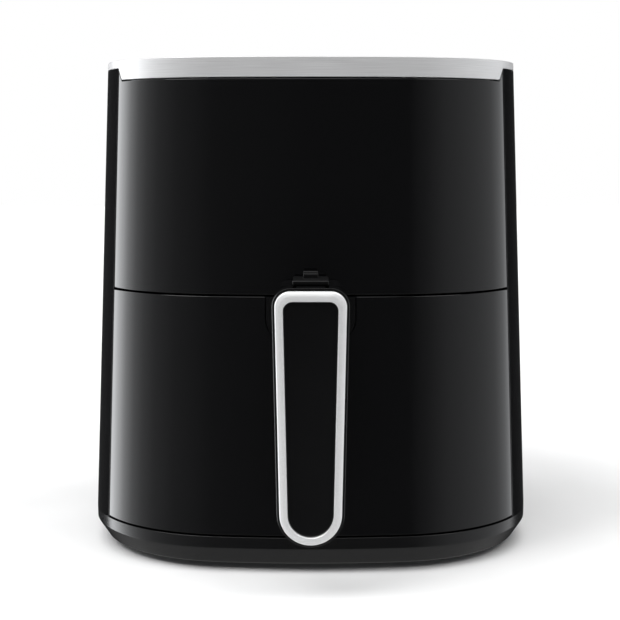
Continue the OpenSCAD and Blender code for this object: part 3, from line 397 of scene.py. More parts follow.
def block(name, low, high, rounding=0.0, segments=3):
    """Box between two corners with rounded edges."""
    xs, ys, zs = zip(low, high)
    points = [(x, y, z) for x in xs for y in ys for z in zs]
    faces = [(0, 1, 3, 2), (4, 6, 7, 5), (0, 4, 5, 1), (2, 3, 7, 6), (0, 2, 6, 4), (1, 5, 7, 3)]
    made = mesh_object(name, points, faces)
    face_out(made)
    if rounding:
        soften(made, rounding, segments)
    return made


def lathe(name, profile, centre=(0, 0), steps=48, axis="Z"):
    """Turns a profile of (radius, height) about an upright axis, or one along Y."""
    rings = []
    for radius, height in profile:
        ring = []
        for k in range(steps):
            a = 2 * math.pi * k / steps
            u, v = radius * math.cos(a), radius * math.sin(a)
            if axis == "Z":
                ring.append((centre[0] + u, centre[1] + v, height))
            else:
                ring.append((centre[0] + u, height, centre[1] + v))
        rings.append(ring)
    return rings_object(name, rings)


def join(name, pieces):
    """Joins pieces into one object, in order."""
    work = bmesh.new()
    for piece in pieces:
        work.from_mesh(piece.data)
    mesh = bpy.data.meshes.new(name)
    work.to_mesh(mesh)
    work.free()
    for piece in pieces:
        bpy.data.objects.remove(piece)
    shade_smooth(mesh)
    made = place(mesh)
    made.name = name
    return made


def finish_piece(piece, body, slot, *replaced, finish=None):
    """Gives a piece its body and the finish of its slot, or another finish, and hides the CAD
    nodes that it stands for."""
    piece.data.materials.clear()
    piece.data.materials.append(finish_of(finish or slot))
    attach(piece, body)
    if replaced:
        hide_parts(*replaced)


def centre_y():
    """Middle of the body from front to back; the handle puts it behind the origin."""
    low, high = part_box("base_ring")
    return (low[1] + high[1]) / 2


class Plan:
    """Outline of the body at any height: crowned faces blended by tangent corner arcs."""

    def __init__(self, settings):
        low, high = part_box("base_ring")
        self.half_w = (high[0] - low[0]) / 2
        self.half_d = (high[1] - low[1]) / 2
        self.y0 = centre_y()
        self.seam = high[2]
        self.lean = math.tan(settings.draft)
        self.front_r = settings.front_crown
        self.side_r = settings.side_crown
        self.corner_r = settings.corner_radius
        front = Vector((0, self.front_r - self.half_d))
        side = Vector((self.half_w - self.side_r, 0))
        legs = self.front_r - self.corner_r, self.side_r - self.corner_r
        between = (side - front).length
        along = (legs[0] ** 2 - legs[1] ** 2 + between ** 2) / (2 * between)
        across = math.sqrt(legs[0] ** 2 - along ** 2)
        direction = (side - front) / between
        corner = front + along * direction + across * Vector((-direction.y, direction.x))
        self.front_end = math.degrees(math.atan2(corner.x, front.y - corner.y))
        self.side_end = math.degrees(math.atan2(corner.x - side.x, -corner.y))
        self.arcs = ((front, self.front_r), (corner, self.corner_r), (side, self.side_r))

    def taper(self, z):
        """How far the walls lean in at a height."""
        return max(0.0, z - self.seam) * self.lean

    def arc_at(self, t):
        """Angle within the quarter, and the arc that the outline follows there."""
        q = abs((t + 180) % 360 - 180)
        q = 180 - q if q > 90 else q
        kind = 0 if q < self.front_end else 1 if q < self.side_end else 2
        return q, self.arcs[kind]

    def point(self, t, inset, z):
        """Point of the outline at an angle, an inset and a height."""
        u = (t + 180) % 360 - 180
        q, (centre, radius) = self.arc_at(t)
        reach = radius - inset - self.taper(z)
        x = centre.x + reach * math.sin(math.radians(q))
        y = centre.y - reach * math.cos(math.radians(q))
        return Vector((-x if u < 0 else x, self.y0 + (-y if abs(u) > 90 else y), z))

    def turn(self, start, end, marks=(), step=0.0026):
        """Angles from start to end, closer together where the outline is tighter."""
        stops = {start, end}
        for k in range(-2, 3):
            for a in (-self.side_end, -self.front_end, self.front_end, self.side_end):
                stops.add(k * 180 + a)
        stops.update(marks)
        stops = sorted(a for a in stops if start <= a <= end)
        angles = []
        for a, b in zip(stops, stops[1:]):
            radius = self.arc_at((a + b) / 2)[1][1]
            gap = step if radius < 0.2 else step * 2.2
            count = max(1, math.ceil(math.radians(b - a) * radius / gap))
            angles += [a + (b - a) * i / count for i in range(count)]
        return angles + [end]

    def front_y(self, x, z, inset=0.0):
        """The front face's place at a distance x from the middle."""
        reach = self.front_r - self.taper(z) - inset
        return self.y0 - self.half_d + self.front_r - math.sqrt(reach ** 2 - x ** 2)


def sweep(name, plan, section, angles, closed=False):
    """Sweeps a section of (inset, height) round the body. Its UV runs along the outline in
    metres and across the section in metres."""
    if closed:
        angles = angles[:-1]
    rings, uvs, travelled, last = [], [], 0.0, None
    for t in angles:
        shape = section(t)
        ring = [plan.point(t, inset, z) for inset, z in shape]
        if last is not None:
            travelled += (ring[0] - last).length
        last = ring[0]
        across = 0.0
        for k, p in enumerate(ring):
            if k:
                across += (p - ring[k - 1]).length
            uvs.append((travelled, across))
        rings.append(ring)
    return rings_object(name, rings, closed, True, uvs)


# ---------------------------------------------------------------- geometry node trees

def node_group(name, sockets):
    """A geometry node group with the given named inputs."""
    group = bpy.data.node_groups.new(name, "GeometryNodeTree")
    group.interface.new_socket("Geometry", in_out="INPUT", socket_type="NodeSocketGeometry")
    for label, kind in sockets:
        group.interface.new_socket(label, in_out="INPUT", socket_type=kind)
    group.interface.new_socket("Geometry", in_out="OUTPUT", socket_type="NodeSocketGeometry")
    return group, Nodes(group)


def close_tree(nodes, inlet, geometry):
    """Ends a tree in Realize Instances and Set Material."""
    real = nodes.add("GeometryNodeRealizeInstances", {"Geometry": geometry})
    painted = nodes.add("GeometryNodeSetMaterial", {"Geometry": real.outputs[0],
                                                    "Material": inlet.outputs["Material"]})
    nodes.add("NodeGroupOutput", {"Geometry": painted.outputs[0]})


def round_array():
    """Copies of a piece set in a circle about the origin's upright axis."""
    group, nodes = node_group("round_array", [("Piece", "NodeSocketObject"),
                                              ("Count", "NodeSocketInt"),
                                              ("Radius", "NodeSocketFloat"),
                                              ("Material", "NodeSocketMaterial")])
    inlet = nodes.add("NodeGroupInput")
    ring = nodes.add("GeometryNodeMeshCircle", {"Vertices": inlet.outputs["Count"],
                                                "Radius": inlet.outputs["Radius"]})
    index = nodes.add("GeometryNodeInputIndex").outputs[0]
    part = nodes.math("DIVIDE", index, inlet.outputs["Count"])
    turn = nodes.add("ShaderNodeCombineXYZ", {2: nodes.math("MULTIPLY", part, 2 * math.pi)})
    piece = nodes.add("GeometryNodeObjectInfo", {"Object": inlet.outputs["Piece"]})
    made = nodes.add("GeometryNodeInstanceOnPoints", {"Points": ring.outputs[0],
                                                      "Instance": piece.outputs["Geometry"],
                                                      "Rotation": turn.outputs[0]})
    close_tree(nodes, inlet, made.outputs[0])
    return group


def row_array():
    """Copies of a piece in a straight row."""
    group, nodes = node_group("row_array", [("Piece", "NodeSocketObject"),
                                            ("Count", "NodeSocketInt"),
                                            ("Start", "NodeSocketVector"),
                                            ("Step", "NodeSocketVector"),
                                            ("Material", "NodeSocketMaterial")])
    inlet = nodes.add("NodeGroupInput")
    line = nodes.add("GeometryNodeMeshLine", {"Count": inlet.outputs["Count"],
                                              "Start Location": inlet.outputs["Start"],
                                              "Offset": inlet.outputs["Step"]})
    piece = nodes.add("GeometryNodeObjectInfo", {"Object": inlet.outputs["Piece"]})
    made = nodes.add("GeometryNodeInstanceOnPoints", {"Points": line.outputs[0],
                                                      "Instance": piece.outputs["Geometry"]})
    close_tree(nodes, inlet, made.outputs[0])
    return group


def point_array():
    """Copies of a piece on each point of the carrying mesh, turned by each point's own angle
    about the upright axis."""
    group, nodes = node_group("point_array", [("Piece", "NodeSocketObject"),
                                              ("Material", "NodeSocketMaterial")])
    inlet = nodes.add("NodeGroupInput")
    angle_of = nodes.add("GeometryNodeInputNamedAttribute", {"Name": "turn"}, data_type="FLOAT")
    turn = nodes.add("ShaderNodeCombineXYZ", {2: angle_of.outputs[0]})
    piece = nodes.add("GeometryNodeObjectInfo", {"Object": inlet.outputs["Piece"]})
    points = nodes.add("GeometryNodeMeshToPoints", {"Mesh": inlet.outputs["Geometry"]})
    made = nodes.add("GeometryNodeInstanceOnPoints", {"Points": points.outputs[0],
                                                      "Instance": piece.outputs["Geometry"],
                                                      "Rotation": turn.outputs[0]})
    close_tree(nodes, inlet, made.outputs[0])
    return group


def perforation():
    """Puts a square cell with a round hole in place of every face marked as perforated, then
    welds the sheet together."""
    group, nodes = node_group("perforation", [("Cell", "NodeSocketObject"),
                                              ("Sheet", "NodeSocketFloat"),
                                              ("Material", "NodeSocketMaterial")])
    inlet = nodes.add("NodeGroupInput")
    marked = nodes.add("GeometryNodeInputNamedAttribute", {"Name": "perforated"},
                       data_type="FLOAT")
    parts = nodes.add("GeometryNodeSeparateGeometry",
                      {"Geometry": inlet.outputs["Geometry"],
                       "Selection": nodes.math("GREATER_THAN", marked.outputs[0], 0.5)},
                      domain="FACE")
    normal = nodes.add("GeometryNodeInputNormal")
    kept = nodes.add("GeometryNodeCaptureAttribute", {"Geometry": parts.outputs[0]}, domain="FACE")
    kept.capture_items.new("VECTOR", "facing")
    nodes.tree.links.new(normal.outputs[0], kept.inputs[1])
    points = nodes.add("GeometryNodeMeshToPoints", {"Mesh": kept.outputs[0]}, mode="FACES")
    aim = nodes.add("FunctionNodeAlignRotationToVector", {"Vector": kept.outputs[1]}, axis="Z")
    cell = nodes.add("GeometryNodeObjectInfo", {"Object": inlet.outputs["Cell"]})
    holes = nodes.add("GeometryNodeInstanceOnPoints", {"Points": points.outputs[0],
                                                       "Instance": cell.outputs["Geometry"],
                                                       "Rotation": aim.outputs[0]})
    loose = nodes.add("GeometryNodeRealizeInstances", {"Geometry": holes.outputs[0]})
    both = nodes.add("GeometryNodeJoinGeometry")
    nodes.tree.links.new(parts.outputs[1], both.inputs[0])
    nodes.tree.links.new(loose.outputs[0], both.inputs[0])
    welded = nodes.add("GeometryNodeMergeByDistance", {"Geometry": both.outputs[0],
                                                       "Distance": 0.00004})
    close_tree(nodes, inlet, welded.outputs[0])
    return group


def grow(carrier, group, **values):
    """Runs a geometry node group on a carrier object and leaves it as a plain mesh."""
    change = carrier.modifiers.new(group.name, "NODES")
    change.node_group = group
    for item in group.interface.items_tree:
        if item.in_out == "INPUT" and item.name in values:
            change[item.identifier] = values[item.name]
    settle(carrier)
    for value in values.values():
        if isinstance(value, bpy.types.Object):
            bpy.data.objects.remove(value)
    return carrier


def empty_carrier(name, points=((0, 0, 0),), turns=None):
    carrier = mesh_object(name, points, [])
    if turns:
        values = carrier.data.attributes.new("turn", "FLOAT", "POINT")
        values.data.foreach_set("value", turns)
    return carrier


# ---------------------------------------------------------------- materials

def build_materials(look):
    """Every finish of the object, by slot."""
    made = {}

    def add(maker, name, *values, **more):
        made[name] = maker(name, *values, **more)

    add(moulded, "black_gloss", tuple(look.gloss_black), look.gloss, 0.012, 260.0, 0.000008, 0.15)
    add(moulded, "housing_gloss", tuple(look.gloss_black), 0.035, 0.01, 260.0, 0.000004, 0.15,
        level=0.35)
    add(moulded, "black_satin", tuple(look.satin_black), look.satin, 0.05, 1500.0, 0.00003)
    add(moulded, "handle_black", tuple(look.gloss_black), 0.24, 0.04, 1800.0, 0.00001)
    add(moulded, "guard_black", tuple(look.gloss_black), 0.42, 0.05, 1500.0, 0.00002, level=0.3)
    add(brushed, "brushed_band", tuple(look.silver), 0.44, 2600.0, 0.5)
    add(brushed, "satin_frame", tuple(look.frame_silver), 0.34, 5200.0, 0.42, 0.000004, "object",
        0.04)
    add(moulded, "dark_glass", (0.004, 0.004, 0.005), 0.05, 0.015, 120.0, 0.000003, coat=1.0,
        coat_rough=0.02)
    add(moulded, "circuit_green", (0.012, 0.10, 0.035), 0.35, 0.06, 700.0, 0.00004)
    add(moulded, "dark_plastic", (0.022, 0.022, 0.024), 0.5, 0.06, 1400.0, 0.00005)
    add(moulded, "rubber", (0.016, 0.016, 0.016), 0.72, 0.08, 1100.0, 0.00008, sheen=0.1)
    add(brushed, "screw_steel", (0.55, 0.56, 0.57), 0.3, 3000.0, 1.0, 0.000004, "object")
    add(brushed, "sheet_steel", tuple(look.steel), 0.34, 900.0, 1.0, 0.00001, "object")
    add(brushed, "aluminised_steel", (0.62, 0.63, 0.64), 0.42, 500.0, 1.0, 0.00001, "object")
    add(moulded, "heater_tube", (0.10, 0.085, 0.075), 0.5, 0.1, 500.0, 0.00004, 1.2, metallic=0.8)
    add(moulded, "ceramic", (0.72, 0.69, 0.62), 0.45, 0.08, 800.0, 0.00003, 0.1)
    add(brushed, "copper_wire", (0.62, 0.25, 0.10), 0.3, 1200.0, 1.0, 0.00006, "object")
    add(moulded, "bronze", (0.42, 0.27, 0.10), 0.42, 0.08, 1500.0, 0.00002, 0.3, metallic=1.0)
    add(brushed, "sensor_steel", (0.7, 0.7, 0.72), 0.2, 2500.0, 1.0, 0.000004, "object")
    add(moulded, "pale_plastic", (0.62, 0.59, 0.52), 0.45, 0.06, 900.0, 0.00003, 0.1)
    add(moulded, "component_case", (0.02, 0.03, 0.10), 0.38, 0.06, 900.0, 0.00003)
    add(moulded, "wire_jacket", (0.02, 0.02, 0.022), 0.5, 0.08, 600.0, 0.00004)
    add(moulded, "nonstick_coating", tuple(look.coating), 0.42, 0.08, 2600.0, 0.00005, 0.9)
    add(moulded, "panel_print", (0.55, 0.56, 0.58), 0.5, 0.04, 600.0, 0.00001, 0.1)
    add(moulded, "plunger_red", (0.42, 0.03, 0.02), 0.4, 0.05, 900.0, 0.00003)
    return made


FINISHES = {}


def finish_of(name):
    """A finish by name; all of them are made at the first call."""
    if not FINISHES:
        FINISHES.update(build_materials(bpy.context.scene.air_fryer_finish))
    return FINISHES[name]


# ---------------------------------------------------------------- operators

class Piece:
    """What every operator of the object shares."""
    bl_options = {"REGISTER", "UNDO"}

    def execute(self, context):
        scene = context.scene
        self.body = scene.air_fryer_body
        self.handle = scene.air_fryer_handle
        self.basket = scene.air_fryer_basket
        self.plan = Plan(self.body)
        self.build()
        return {"FINISHED"}


class AF_OT_body_shells(Piece, bpy.types.Operator):
    """Gloss-black rear housing and upper fascia"""
    bl_idname = "airfryer.body_shells"
    bl_label = "Body shells"

    def build(self):
        edge = math.degrees(self.body.panel_edge)
        low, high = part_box("outer_housing")
        wall = self.body.wall
        lip = wall + 1.4 * MM

        def housing(t):
            inner = lip if abs((t + 180) % 360 - 180) < edge + 1.2 else wall
            return [(0, low[2]), (0, high[2]), (inner, high[2]), (inner, low[2])]

        shell = sweep("outer_housing_shell", self.plan, housing,
                      self.plan.turn(edge, 360 - edge, (edge + 1.2, 358.8 - edge)))
        grille_low, grille_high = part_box("exhaust_grille")
        gap = 0.3 * MM
        cut(shell, block("opening", (grille_low[0] - gap, self.plan.y0 + self.plan.half_d * 0.8,
                                     grille_low[2] - gap),
                         (grille_high[0] + gap, self.plan.y0 + self.plan.half_d * 1.2,
                          grille_high[2] + gap)))
        inlet_low, inlet_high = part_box("cord_inlet")
        middle = ((inlet_low[0] + inlet_high[0]) / 2, (inlet_low[2] + inlet_high[2]) / 2)
        hole = (inlet_high[0] - inlet_low[0]) / 2 - 1.5 * MM
        cut(shell, lathe("inlet_hole", [(hole, inlet_low[1] - 0.01), (hole, inlet_high[1] + 0.02)],
                         middle, 64, "Y"))
        soften(shell, self.body.edge_round)
        finish_piece(shell, "main_body", "black_gloss", "outer_housing", finish="housing_gloss")

        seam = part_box("upper_fascia")[0][2]
        inner_edge = edge - math.degrees(SIDE_GAP / self.body.corner_radius)
        step = math.degrees(self.body.band_step)
        reach = self.body.return_width

        def fascia(t):
            top = band_low(self.body, t) - self.body.band_seam
            return [(0, seam), (0, top), (wall, top), (wall, seam + FLANGE),
                    (reach, seam + FLANGE), (reach, seam)]

        panel = sweep("upper_fascia_panel", self.plan, fascia,
                      self.plan.turn(-inner_edge, inner_edge, (step - edge, edge - step)))
        soften(panel, self.body.edge_round)
        finish_piece(panel, "main_body", "black_gloss", "upper_fascia")


def band_low(body, t):
    """Lower edge of the top band at an angle round the body."""
    low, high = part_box("top_trim_band")
    edge, step = math.degrees(body.panel_edge), math.degrees(body.band_step)
    side = high[2] - 4.7 * MM
    u = abs((t + 180) % 360 - 180)
    part = min(1.0, max(0.0, (u - edge + step) / step))
    return low[2] + (side - low[2]) * part


class AF_OT_top(Piece, bpy.types.Operator):
    """Metal band, and the marks printed on the control glass"""
    bl_idname = "airfryer.top"
    bl_label = "Top band and cover"

    def build(self):
        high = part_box("top_trim_band")[1][2]
        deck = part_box("top_cover")[1][2]
        lip, sheet = self.body.band_lip, self.body.band_sheet
        edge, step = math.degrees(self.body.panel_edge), math.degrees(self.body.band_step)

        def band(t):
            low = band_low(self.body, t)
            return [(0, low), (0, high), (lip, high), (lip, deck), (sheet, deck), (sheet, low)]

        ring = sweep("top_band", self.plan, band,
                     self.plan.turn(-180, 180, (-edge, step - edge, edge - step, edge)), True)
        soften(ring, 0.45 * MM)
        finish_piece(ring, "main_body", "brushed_band", "top_trim_band")
        self.marks(deck)

    def marks(self, deck):
        """Generic touch marks and a clock display, printed on the glass."""
        low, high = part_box("control_glass")
        cx, cy = (low[0] + high[0]) / 2, (low[1] + high[1]) / 2
        z0, z1 = deck + 0.01 * MM, deck + 0.05 * MM
        pieces = []

        def bar(x0, y0, x1, y1):
            pieces.append(block("bar", (cx + x0 * MM, cy + y0 * MM, z0),
                                (cx + x1 * MM, cy + y1 * MM, z1)))

        def hoop(x, y, radius, start=0, end=360, width=0.5):
            outer = arc((cx + x * MM, cy + y * MM), radius * MM, start, end, 28)
            inner = arc((cx + x * MM, cy + y * MM), (radius - width) * MM, start, end, 28)
            rings = [[(*p, z0), (*p, z1), (*q, z1), (*q, z0)] for p, q in zip(outer, inner)]
            if end - start == 360:
                rings = rings[:-1]
            pieces.append(rings_object("hoop", rings, end - start == 360))

        for x in (-48, -32, 32, 48):
            for y in (-12, 12):
                hoop(x, y, 5)
        for x in (-16, 16):
            hoop(x, -18, 4)
        bar(-18, -18.3, -14, -17.7)
        bar(14, -18.3, 18, -17.7)
        bar(15.7, -20, 16.3, -16)
        for x, y, count in ((-48, 12, 1), (-32, 12, 2), (32, 12, 3), (48, 12, 4),
                            (-48, -12, 5), (-32, -12, 6)):
            for k in range(count):
                a = 2 * math.pi * k / count
                r = 0 if count == 1 else 2.1
                hoop(x + r * math.cos(a), y + r * math.sin(a), 0.8, width=0.5)
        hoop(32, -12, 2.2)
        hoop(48, -12, 2.2, 120, 420)
        bar(47.7, -12, 48.3, -8.6)
        segments = {"a": (-1.6, 5.6, 1.6, 6.2), "b": (1.7, 3.2, 2.3, 5.5),
                    "c": (1.7, 0.3, 2.3, 2.6), "d": (-1.6, -0.4, 1.6, 0.2),
                    "e": (-2.3, 0.3, -1.7, 2.6),
                    "f": (-2.3, 3.2, -1.7, 5.5), "g": (-1.6, 2.6, 1.6, 3.2)}
        for x, lit in ((-9.5, "bc"), (-3.2, "abcdefg"), (4.2, "abcdef"), (10.5, "abcdef")):
            for key in lit:
                x0, y0, x1, y1 = segments[key]
                bar(x + x0, y0, x + x1, y1)
        printed = join("panel_marks", pieces)
        finish_piece(printed, "main_body", "brushed_band", finish="panel_print")


class AF_OT_base(Piece, bpy.types.Operator):
    """Base ring and rubber feet"""
    bl_idname = "airfryer.base"
    bl_label = "Base ring and feet"

    def build(self):
        low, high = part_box("base_ring")
        crease = self.body.crease_height
        inset = self.body.lip_inset
        wall = self.body.wall
        plate_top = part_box("base_plate")[1][2]

        def ring(_):
            top = high[2] - 0.4 * MM
            return [(inset, low[2]), (inset - 0.9 * MM, low[2] + 0.8 * MM),
                    (0.8 * MM, crease), (0.1 * MM, crease + 1.2 * MM), (0, top),
                    (wall + 3 * MM, top), (wall + 3 * MM, high[2] - 2.4 * MM),
                    (wall, high[2] - 2.4 * MM), (wall + 0.8 * MM, crease + MM),
                    (inset + wall, plate_top), (inset + wall, low[2])]

        made = sweep("base_ring_shell", self.plan, ring, self.plan.turn(-180, 180), True)
        soften(made, 0.25 * MM, 2, 12.0)
        finish_piece(made, "main_body", "black_satin", "base_ring")

        foot_low, foot_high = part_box("rubber_feet")
        radius, top = 10 * MM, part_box("base_plate")[0][2]
        sole = lathe("foot", [(0, 0), (radius - 3 * MM, 0), (radius - 1.2 * MM, 0.2 * MM),
                              (radius - 0.3 * MM, 0.9 * MM), (radius, 2 * MM),
                              (radius, top), (0, top)],
                     (0, 0), 40)
        spots = [(x, y, 0) for x in (foot_low[0] + radius, foot_high[0] - radius)
                 for y in (foot_low[1] + radius, foot_high[1] - radius)]
        feet = grow(empty_carrier("feet", spots, [0, 0, 0, 0]), point_array(), Piece=sole,
                    Material=finish_of("rubber"))
        finish_piece(feet, "main_body", "rubber", "rubber_feet")


class AF_OT_grille(Piece, bpy.types.Operator):
    """Louvred exhaust grille at the rear"""
    bl_idname = "airfryer.grille"
    bl_label = "Exhaust grille"

    def build(self):
        low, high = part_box("exhaust_grille")
        side = math.degrees(math.asin(high[0] / self.plan.front_r)) + 0.6
        thick = 2.2 * MM

        def plate(_):
            return [(0, low[2]), (0, high[2]), (thick, high[2]), (thick, low[2])]

        rim = sweep("exhaust_grille_frame", self.plan, plate,
                    self.plan.turn(180 - side, 180 + side, step=0.002))
        deep = self.plan.y0 + self.plan.half_d * 0.8, self.plan.y0 + self.plan.half_d * 1.2
        cut(rim, block("trim", (low[0], deep[0], low[2] - MM), (high[0], deep[1], high[2] + MM)),
            "INTERSECT")
        border = 5 * MM
        cut(rim, block("window", (low[0] + border, deep[0], low[2] + border),
                       (high[0] - border, deep[1], high[2] - border)))
        soften(rim, 0.4 * MM)
        finish_piece(rim, "main_body", "black_satin", "exhaust_grille")

        rear = -self.plan.front_y(0, (low[2] + high[2]) / 2) + 2 * self.plan.y0
        width = high[0] - border + 0.5 * MM
        profile = [(-1.2, -1.9), (-0.7, -2.3), (1.3, 1.5), (0.8, 2.3), (0.2, 2.3), (-1.2, -1.3)]
        rings = [[(x, y * MM, z * MM) for y, z in profile] for x in (-width, width)]
        blade = rings_object("slat", rings)
        soften(blade, 0.25 * MM, 2)
        count = 8
        pitch = (high[2] - low[2] - 2 * border) / count
        slats = grow(empty_carrier("exhaust_slats"), row_array(), Piece=blade, Count=count,
                     Start=(0, rear - 2.9 * MM, low[2] + border + pitch / 2),
                     Step=(0, -pitch * self.plan.lean, pitch),
                     Material=finish_of("black_satin"))
        finish_piece(slats, "main_body", "black_satin")


class AF_OT_drawer_front(Piece, bpy.types.Operator):
    """Gloss drawer front with the notch for the handle's root"""
    bl_idname = "airfryer.drawer_front"
    bl_label = "Drawer front"

    def build(self):
        low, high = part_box("drawer_front")
        edge = math.degrees(self.body.panel_edge)
        edge -= math.degrees(SIDE_GAP / self.body.corner_radius)
        wall, reach = self.body.wall, self.body.return_width

        def panel(_):
            return [(0, low[2]), (0, high[2]), (reach, high[2]), (reach, high[2] - FLANGE),
                    (wall, high[2] - FLANGE), (wall, low[2] + FLANGE), (reach, low[2] + FLANGE),
                    (reach, low[2])]

        shell = sweep("drawer_front_shell", self.plan, panel, self.plan.turn(-edge, edge))
        gap = self.handle.root_gap
        cut(shell, root_prism("notch", self.handle, self.plan, high[2], gap, -0.01, 0.03))
        soften(shell, self.body.edge_round)
        finish_piece(shell, "drawer", "black_gloss", "drawer_front")


def root_prism(name, handle, plan, top, grown, start, end):
    """Prism of the root plate's outline, from start to end behind the front face's middle."""
    half, corner = handle.root_half + grown, handle.root_corner + grown
    low = top - handle.root_height - grown
    crown = top + (0.02 if grown else 0.0)
    outline = arc((-half + corner, low + corner), corner, 180, 270, 12)
    outline += arc((half - corner, low + corner), corner, 270, 360, 12)
    outline += [(half, crown), (-half, crown)]
    front = plan.y0 - plan.half_d
    return rings_object(name, [[(x, front + y, z) for x, z in outline] for y in (start, end)])


def paddle(handle, grown):
    """Outline of the handle in x and z: two upper corner arcs and one lower arc. Inside the strip
    the upper edge lies a little lower, so that the strip is wider at the top."""
    low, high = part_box("handle_frame")
    inner = min(1.0, max(0.0, -grown / handle.strip))
    top = Vector((high[0] - handle.corner - 1.2 * MM * inner,
                  high[2] - handle.corner - 2.2 * MM * inner))
    grown_top = grown + 1.2 * MM * inner
    bottom = Vector((0, low[2] + handle.low_radius))
    along = bottom - top
    tangent = math.degrees(math.atan2(along.y, along.x)
                           + math.acos((handle.corner + grown_top - handle.low_radius - grown)
                                       / along.length))
    points = arc(bottom, handle.low_radius + grown, 180 - tangent, 360 + tangent, 40)
    points += arc(top, handle.corner + grown_top, tangent, 90, 16)
    points += arc((-top.x, top.y), handle.corner + grown_top, 90, 180 - tangent, 16)
    return points


class AF_OT_handle(Piece, bpy.types.Operator):
    """Paddle handle: frame, insert and grip with its arm and root plate"""
    bl_idname = "airfryer.handle"
    bl_label = "Handle"

    def build(self):
        h = self.handle
        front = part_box("handle_frame")[0][1]
        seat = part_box("handle_frame")[1][1]

        def outline(grown, y):
            return [(x, y, z) for x, z in paddle(h, grown)]

        strip = h.strip
        section = [(0, seat), (0, front + 1.7 * MM), (-0.2 * MM, front + 1.25 * MM),
                   (-0.55 * MM, front + 0.95 * MM), (-1.9 * MM, front + 0.38 * MM),
                   (-2.2 * MM, front + 0.3 * MM), (-2.5 * MM, front + 0.26 * MM),
                   (0.6 * MM - strip, front), (0.25 * MM - strip, front + 0.1 * MM),
                   (-strip, front + 0.45 * MM), (-strip, seat)]
        ring = rings_object("handle_frame_ring", [outline(g, y) for g, y in section], True)
        soften(ring, 0, 1)
        finish_piece(ring, "drawer", "satin_frame", "handle_frame")

        edge = -strip - 0.1 * MM
        face = front + 1.6 * MM
        dish = [(edge, seat - 0.02 * MM), (edge, face + 0.25 * MM), (edge - 0.25 * MM, face),
                (edge - 1.5 * MM, face + 0.02 * MM), (edge - 4 * MM, face + 0.08 * MM),
                (edge - 7.5 * MM, face + 0.14 * MM), (edge - 10.5 * MM, face + 0.16 * MM)]
        panel = rings_object("handle_inlay", [outline(g, y) for g, y in dish])
        soften(panel, 0, 1)
        finish_piece(panel, "drawer", "black_satin", "handle_insert", finish="handle_black")
        self.grip(outline, seat)

    def grip(self, outline, seat):
        h = self.handle
        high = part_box("handle_grip")[1]
        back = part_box("handle_screws")[1][1] + 0.8 * MM
        r = h.back_round
        side = [(h.rim - 0.9 * MM, seat), (h.rim - 0.35 * MM, seat + 0.12 * MM),
                (h.rim - 0.08 * MM, seat + 0.5 * MM), (h.rim, seat + 1.1 * MM)]
        side += [(h.rim - r + r * math.cos(a), back - r + r * math.sin(a))
                 for a in quarter(6)]
        body = rings_object("handle_grip_body", [outline(g, y) for g, y in side])

        root_front = self.plan.front_y(0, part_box("drawer_front")[1][2])
        drawer_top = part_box("drawer_front")[1][2]
        neck_top = drawer_top - NECK_GAP
        arm_low = neck_top - NECK_HEIGHT
        stations = [(back - 4 * MM, 1.6, -16.0), (back + 1.5 * MM, 1.2, -10.0),
                    (back + 4 * MM, 0.5, -5.0), (back + 8 * MM, 0.1, -1.6),
                    (back + 13 * MM, 0.0, 0.0), (root_front - 4.2 * MM, 0.0, 0.0)]
        rings = []
        for y, wide, drop in stations:
            half = h.arm_half + wide * MM
            base = arm_low + drop * MM
            middle = (high[2] + base) / 2
            rings.append([(x, y, middle + z)
                          for x, z in round_rect(half, (high[2] - base) / 2, 3.5 * MM, 6)])
        arm = rings_object("arm", rings)
        middle = (neck_top + arm_low) / 2
        lower = [[(x, y, middle + z)
                  for x, z in round_rect(h.arm_half, (neck_top - arm_low) / 2, 3 * MM, 6)]
                 for y in (root_front - 8 * MM, root_front + 4 * MM)]
        neck = rings_object("neck", lower)
        thick, below = 8 * MM, arm_low - 20 * MM
        plate = sweep("plate", self.plan,
                      lambda _: [(0, below), (0, drawer_top), (thick, drawer_top), (thick, below)],
                      self.plan.turn(-5, 5, step=0.002))
        cut(plate, root_prism("outline", h, self.plan, drawer_top, 0.0, -0.01, 0.03), "INTERSECT")
        tail = block("tail", (-h.root_half + 2 * MM, root_front + 3 * MM, arm_low),
                     (h.root_half - 2 * MM, high[1], neck_top))
        for part in (arm, neck, plate, tail):
            cut(body, part, "UNION")
        self.lever_room(body, high[1])
        self.well(body, high[2])
        for z in self.screw_heights():
            cut(body, lathe("screw_hole", [(3.7 * MM, back - 3 * MM), (3.7 * MM, back + 6 * MM)],
                            (0, z), 40, "Y"))
        soften(body, 0.35 * MM, 2, 40.0)
        finish_piece(body, "drawer", "black_satin", "handle_grip", finish="handle_black")

    def screw_heights(self):
        low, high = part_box("handle_screws")
        return low[2] + 3.2 * MM, high[2] - 3.2 * MM

    def lever_room(self, body, back):
        """Room in the arm and the neck for the latch lever and its hook."""
        low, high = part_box("latch_lever")
        pin_low, pin_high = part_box("latch_pin")
        pivot = (pin_low[2] + pin_high[2]) / 2
        cut(body, block("lever_room", (low[0] - 3 * MM, low[1] - 5 * MM, pivot - 6.5 * MM),
                        (high[0] + 3 * MM, back - 3 * MM, high[2] + 0.3 * MM)))
        cut(body, block("hook_room", (low[0] - 1.3 * MM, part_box("latch_catch")[0][1] - 0.6 * MM,
                                      low[2] - 3 * MM),
                        (high[0] + 1.3 * MM, back - 2 * MM, pivot)))

